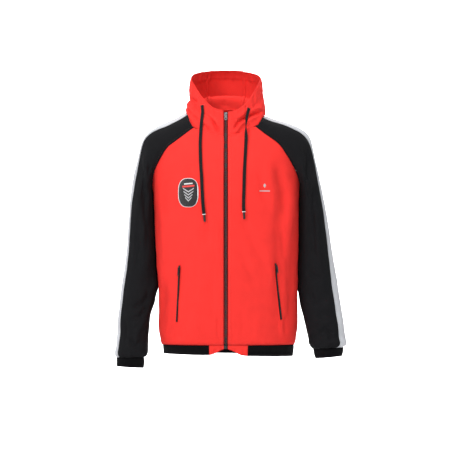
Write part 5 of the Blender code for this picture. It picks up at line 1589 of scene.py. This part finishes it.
def make_badge():
    """A sewn-on patch of the maker's own plain design: bands and chevrons inside a satin border."""
    field = bevelled_copy("badge_field", "chest_badge", "badge_field", "garment", 0.0002, 1)
    places = points_of(field.data.vertices)
    low, high = places.min(axis=0), places.max(axis=0)
    middle, half = (low + high) / 2, (high - low) / 2

    around = []
    for turn in turns_of(120):
        x, z = (math.copysign(abs(share) ** BADGE_POWER, share) * (half[axis] - BORDER_INSET)
                for axis, share in ((0, math.cos(turn)), (2, math.sin(turn))))
        around.append(on_front(FACES["front_panel_right"], middle[0] + x, middle[2] + z))
    made = closed_sweep(around, lift=0.0009, width=0.0038, height=0.0021)
    border = fill_piece(empty_piece("badge_edging", "badge_white"), made)
    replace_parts(border, "badge_border")

    def sew_on(name, finish, outlines):
        placed = [[(middle[0] + x * half[0], middle[2] + z * half[2]) for x, z in outline]
                  for outline in outlines]
        sewn_shapes(name, finish, skin_tree(field), placed, fineness=2, sunk=0.00045, thickness=0.0006)
    for name, (finish, slot, (z, half_width, half_height)) in BARS.items():
        sew_on(name, finish, [bar(z, half_width, half_height)])
    sew_on("badge_chevrons", "badge_silver", [chevron(*place) for place in CHEVRONS])


def bar(z, half_width, half_height):
    lean = BAR_LEAN * half_width
    return [(-half_width, z - half_height - lean), (half_width, z - half_height + lean),
            (half_width, z + half_height + lean), (-half_width, z + half_height - lean)]


def chevron(z, half_width):
    top, foot = z + CHEVRON_RISE, z - CHEVRON_RISE * 0.4
    return [(-half_width, top), (0.0, foot), (half_width, top), (half_width, top - CHEVRON_THICK),
            (0.0, foot - CHEVRON_THICK * 1.2), (-half_width, top - CHEVRON_THICK)]


def make_chest_mark():
    """A small plain mark sewn straight into the left chest: a lozenge over a bar."""
    outlines = [[(MARK_X + x, MARK_Z + z) for x, z in outline] for outline in (LOZENGE, MARK_BAR)]
    sewn_shapes("chest_mark", "badge_silver", FACES["front_panel_left"], outlines,
                fineness=3, sunk=0.00035, thickness=0.0008)


# ---------------------------------------------------------------- seams and stitching

# Rows of stitches by kind of seam: the thread, and how far each row lies inside the cloth's edge.
ROWS = {
    "raglan": ("black_thread", (0.0024, 0.0056)),
    "stripe": ("black_thread", (0.0022,)),
    "opening": ("red_thread", (0.0262,)),
    "zip": ("red_thread", (0.0070,)),
    "hem": ("red_thread", (0.0026, 0.0062)),
    "cuff": ("black_thread", (0.0024,)),
    "hood seam": ("red_thread", (0.0020,)),
    "side": ("red_thread", (0.0020,)),
}


# The middle of a seam to another family of pieces is this near to it, and of one to the zip to the zip's line.
MEETS = 0.006
PANEL_AT_ZIP = 0.010
HOOD_SEAM_AT_ZIP = 0.012

# The panels' bottom edge is below the first height. The body's raglan seam is below the second, and further out
# than the third. A sleeve's raglan seam is above the fourth.
BOTTOM_Z = -0.66
NECK_Z = -0.05
NECK_X = 0.08
ARMPIT_TOP = -0.23

# A cuff's seam is below a height and shorter than a length, and a stripe's long edge is longer than one.
CUFF_Z = -0.6
CUFF_ROUND = 0.16
STRIPE_LONG = 0.4


def seam_kind(name, run):
    """Which seam of the hoodie a run of a piece's edge is."""
    middle = run[len(run) // 2][0]
    meets = RIMS[name].find(middle)[2] < MEETS
    if name.startswith("front_panel"):
        if abs(middle.x) < PANEL_AT_ZIP:
            return "zip"
        if middle.z < BOTTOM_Z:
            return "hem"
        return "raglan body" if meets and abs(middle.x) > NECK_X and middle.z < NECK_Z else "side"
    if name == "back_panel":
        return "hem" if middle.z < BOTTOM_Z else "back"
    if name.startswith("sleeve_stripe"):
        return "stripe" if run_length(run) > STRIPE_LONG else "end"
    if name.startswith("sleeve"):
        if run_length(run) < CUFF_ROUND and middle.z < CUFF_Z:
            return "cuff"
        return "raglan" if meets and middle.z > ARMPIT_TOP else "arm seam"
    if name.startswith("hood"):
        if RIMS["hood opening"].find(middle)[2] < SEWN:
            return "opening"
        if abs(middle.x) < HOOD_SEAM_AT_ZIP and middle.y < 0.0:
            return "zip"
        return "neck" if meets else "hood seam"
    return "other"


def row_places(name, run, inset, pitch):
    """Where the stitches of a row lie on the cloth: matrices with z along the row and y out of the cloth."""
    skin = FACES[name]
    points = resample([skin.find_nearest(place + into * inset)[0] for place, _, into in run], pitch)
    return [standing(*skin.find_nearest((a + b) / 2)[:2], (b - a).normalized(), lift=0.0002)
            for a, b in zip(points, points[1:])]


def sew(name, finish, places):
    """One object of many stitches, each a small flattened bead of thread."""
    trim = settings("hoodie_trim")
    made = bmesh.new()
    bmesh.ops.create_icosphere(made, subdivisions=1, radius=0.5)
    bmesh.ops.scale(made, verts=made.verts, vec=(trim.thread, trim.thread * 0.8, trim.stitch * 0.86))
    repeated(made, places)
    fill_piece(empty_piece(name, finish), made)


def make_stitching():
    trim = settings("hoodie_trim")
    rows = {"red_thread": [], "black_thread": []}
    for name, runs in SEAMS.items():
        for run in runs:
            finish, insets = ROWS.get(seam_kind(name, run), ("red_thread", ()))
            for inset in insets:
                rows[finish] += row_places(name, run, inset, trim.stitch)
    sew("red_stitching", "red_thread", rows["red_thread"])
    sew("black_stitching", "black_thread", rows["black_thread"])


# Beyond this far to the side the neck's seam has no allowance, because the raglan seams' lie there.
NECK_ALLOWANCE_END = 0.085

# How deep an allowance lies behind the outer face of rib and of jersey.
DEEP_IN_RIB = 0.0036
DEEP_IN_JERSEY = 0.0027

# How wide an allowance is at the neck and elsewhere, and how thick.
NECK_ALLOWANCE = 0.0036
ALLOWANCE = 0.0085
ALLOWANCE_THICKNESS = 0.0010


def make_seam_tapes():
    """Overlocked seam allowances inside the hoodie, along its seams."""
    for tone, kinds in (("red_knit", ("side", "hood seam", "neck", "back", "hem")),
                        ("black_knit", ("raglan", "stripe", "arm seam", "cuff"))):
        piece = empty_piece("seam_allowance_" + tone.split("_")[0], tone)
        made = bmesh.new()
        for name, runs in SEAMS.items():
            for run in runs:
                kind = seam_kind(name, run)
                aside = abs(run[len(run) // 2][0].x)
                if kind in kinds and not (kind == "neck" and aside > NECK_ALLOWANCE_END):
                    allowance(made, name, run, NECK_ALLOWANCE if kind == "neck" else ALLOWANCE)
        fill_piece(piece, made)


def allowance(whole, name, run, width):
    """A flat strip behind one seam, half of it behind each neighbour."""
    deep = DEEP_IN_RIB if name.startswith(("cuff", "hem")) else DEEP_IN_JERSEY
    line = resample([place - out * deep for place, out, _ in run], 0.006)
    tree = kd_tree([place for place, _, _ in run])
    places = [standing(point, run[tree.find(point)[1]][1], way_ahead(line, index))
              for index, point in enumerate(line)]
    strip = sweep(bmesh.new(), places, [(width, ALLOWANCE_THICKNESS)] * len(places), sides=8, power=0.6)
    mesh = bpy.data.meshes.new("strip")
    strip.to_mesh(mesh)
    strip.free()
    whole.from_mesh(mesh)
    bpy.data.meshes.remove(mesh)


# ---------------------------------------------------------------- studio

SENSOR_WIDTH = 36.0

# How wide a view the camera has at the hoodie, in metres, and how far it sees.
VIEW_WIDTH = 1.3244
VIEW_END = 60.0

# The backdrop: half its width, its wall's distance behind the hoodie, the curve up to the wall, and its height.
BACKDROP_HALF = 13.0
WALL_Y = 11.5
WALL_CURVE = 1.2
WALL_HEIGHT = 7.0

# Each lamp's place, what it points at, its width and height, and its power in watts.
LAMPS = {
    "key": ((-3.0, -3.6, 2.3), (0.0, 0.0, -0.3), (1.8, 2.2), 122.0),
    "front": ((-0.6, -5.0, -0.2), (0.0, 0.0, -0.35), (2.2, 2.2), 52.0),
    "top": ((0.0, -0.4, 2.6), (0.0, 0.0, -0.3), (2.2, 1.6), 36.0),
    "hood": ((0.1, -1.3, 0.95), (0.0, 0.08, 0.05), (0.5, 0.4), 11.0),
    "edge right": ((2.8, 0.7, 0.4), (0.1, 0.0, -0.3), (0.9, 2.2), 14.0),
    "edge left": ((-2.8, 0.7, 0.4), (-0.1, 0.0, -0.3), (0.9, 2.2), 14.0),
    "wall": ((0.0, 7.6, 3.4), (0.0, 11.4, 0.0), (6.0, 1.2), 900.0),
    "floor": ((0.0, 5.4, 3.6), (0.0, 5.4, -1.0), (4.0, 7.0), 300.0),
}
SKY_STRENGTH = 0.32


def studio_object(name, data):
    made = bpy.data.objects.new(name, data)
    bpy.context.scene.collection.objects.link(made)
    return made


def make_camera():
    studio = settings("hoodie_studio")
    data = bpy.data.cameras.new("camera")
    camera = studio_object("camera", data)
    camera.location = (0.0, -studio.camera_distance, studio.camera_height)
    camera.rotation_euler = (math.radians(90.0), 0.0, 0.0)
    data.sensor_width = SENSOR_WIDTH
    data.sensor_fit = "HORIZONTAL"
    data.lens = SENSOR_WIDTH * studio.camera_distance / VIEW_WIDTH
    data.clip_end = VIEW_END
    bpy.context.scene.camera = camera


def make_light():
    scene = bpy.context.scene
    scene.world = bpy.data.worlds.new("studio")
    scene.world.use_nodes = True
    sky = scene.world.node_tree.nodes["Background"]
    sky.inputs["Color"].default_value = (1.0, 1.0, 1.0, 1.0)
    sky.inputs["Strength"].default_value = SKY_STRENGTH
    for name, (place, aim, size, power) in LAMPS.items():
        data = bpy.data.lights.new(name, "AREA")
        data.shape = "RECTANGLE"
        data.size, data.size_y = size
        data.energy = power
        lamp = studio_object(name, data)
        lamp.location = place
        lamp.rotation_euler = (Vector(aim) - Vector(place)).to_track_quat("-Z", "Y").to_euler()
    scene.view_settings.view_transform = "Standard"


def make_backdrop():
    """A pale floor that curves up into a wall behind the hoodie."""
    studio = settings("hoodie_studio")
    low, bend = studio.floor_drop, WALL_Y - WALL_CURVE
    side = [(-BACKDROP_HALF, low), (bend, low)]
    side += [(bend + WALL_CURVE * math.sin(a), low + WALL_CURVE * (1.0 - math.cos(a)))
             for a in (math.radians(d) for d in range(6, 91, 6))]
    side += [(WALL_Y, low + WALL_HEIGHT)]
    made = bmesh.new()
    verts = [made.verts.new((-BACKDROP_HALF, y, z)) for y, z in side]
    edges = [made.edges.new(pair) for pair in zip(verts, verts[1:])]
    grown = bmesh.ops.extrude_edge_only(made, edges=edges)["geom"]
    bmesh.ops.translate(made, verts=[g for g in grown if isinstance(g, bmesh.types.BMVert)],
                        vec=(2.0 * BACKDROP_HALF, 0.0, 0.0))
    bmesh.ops.recalc_face_normals(made, faces=made.faces)
    backdrop = studio_object("backdrop", bpy.data.meshes.new("backdrop"))
    backdrop.data.materials.append(plaster("pale backdrop", studio.floor))
    fill_piece(backdrop, made)


# ---------------------------------------------------------------- operators and panel

class HOODIE_OT_stage(bpy.types.Operator):
    """Camera, lights, floor and finishes"""
    bl_idname = "hoodie.stage"
    bl_label = "Stage"

    def execute(self, context):
        make_finishes()
        make_camera()
        make_light()
        make_backdrop()
        return {"FINISHED"}


class HOODIE_OT_drawstrings(bpy.types.Operator):
    """Flat woven drawstrings with dipped tips"""
    bl_idname = "hoodie.drawstrings"
    bl_label = "Drawstrings"

    def execute(self, context):
        make_drawstrings()
        return {"FINISHED"}


class HOODIE_OT_body(bpy.types.Operator):
    """Red front and back panels"""
    bl_idname = "hoodie.body"
    bl_label = "Body"

    def execute(self, context):
        prepare_cloth()
        make_body()
        return {"FINISHED"}


class HOODIE_OT_sleeves(bpy.types.Operator):
    """Black raglan sleeves with a white stripe"""
    bl_idname = "hoodie.sleeves"
    bl_label = "Sleeves"

    def execute(self, context):
        make_sleeves()
        return {"FINISHED"}


class HOODIE_OT_hood(bpy.types.Operator):
    """Three-piece hood with a gathered casing"""
    bl_idname = "hoodie.hood"
    bl_label = "Hood"

    def execute(self, context):
        make_hood()
        return {"FINISHED"}


class HOODIE_OT_ribs(bpy.types.Operator):
    """Rib cuffs and hem, and the hem's red ends"""
    bl_idname = "hoodie.ribs"
    bl_label = "Cuffs and hem"

    def execute(self, context):
        make_ribs()
        return {"FINISHED"}


class HOODIE_OT_front_zip(bpy.types.Operator):
    """Moulded teeth, woven tapes, slider and pull tab of the front zip"""
    bl_idname = "hoodie.front_zip"
    bl_label = "Front zip"

    def execute(self, context):
        make_front_zip()
        return {"FINISHED"}


class HOODIE_OT_pocket_zips(bpy.types.Operator):
    """Coil zips, welts and pull tabs of the two front pockets"""
    bl_idname = "hoodie.pocket_zips"
    bl_label = "Pocket zips"

    def execute(self, context):
        make_pocket_zips()
        return {"FINISHED"}


class HOODIE_OT_badge(bpy.types.Operator):
    """Plain sewn-on badge and a small chest mark"""
    bl_idname = "hoodie.badge"
    bl_label = "Badge and chest mark"

    def execute(self, context):
        make_badge()
        make_chest_mark()
        return {"FINISHED"}


class HOODIE_OT_stitching(bpy.types.Operator):
    """Rows of stitches and the seam allowances behind them"""
    bl_idname = "hoodie.stitching"
    bl_label = "Stitching"

    def execute(self, context):
        make_stitching()
        make_seam_tapes()
        return {"FINISHED"}


STEPS = (HOODIE_OT_stage, HOODIE_OT_drawstrings, HOODIE_OT_body, HOODIE_OT_sleeves, HOODIE_OT_hood,
         HOODIE_OT_ribs, HOODIE_OT_front_zip, HOODIE_OT_pocket_zips, HOODIE_OT_badge, HOODIE_OT_stitching)


class HOODIE_PT_panel(bpy.types.Panel):
    """The steps that make the hoodie, and its sizes and colours"""
    bl_idname = "HOODIE_PT_panel"
    bl_label = "Raglan Zip Hoodie"
    bl_space_type = "VIEW_3D"
    bl_region_type = "UI"
    bl_category = "Hoodie"

    def draw(self, context):
        for step in STEPS:
            self.layout.operator(step.bl_idname)
        for name, group in GROUPS.items():
            box = self.layout.box()
            box.label(text=name.split("_")[1].capitalize())
            for key in group.__annotations__:
                box.prop(getattr(context.scene, name), key)


GROUPS = {"hoodie_cloth": HoodieCloth, "hoodie_colours": HoodieColours, "hoodie_trim": HoodieTrim,
          "hoodie_studio": HoodieStudio}


def register():
    for kind in (*GROUPS.values(), *STEPS, HOODIE_PT_panel):
        bpy.utils.register_class(kind)
    for name, group in GROUPS.items():
        setattr(bpy.types.Scene, name, PointerProperty(type=group))


def unregister():
    for name in GROUPS:
        delattr(bpy.types.Scene, name)
    for kind in reversed((*GROUPS.values(), *STEPS, HOODIE_PT_panel)):
        bpy.utils.unregister_class(kind)


def main():
    """Makes the hoodie, step by step."""
    register()
    for step in STEPS:
        group, call = step.bl_idname.split(".")
        getattr(getattr(bpy.ops, group), call)()
    bpy.context.view_layer.update()


if __name__ == "__main__":
    main()
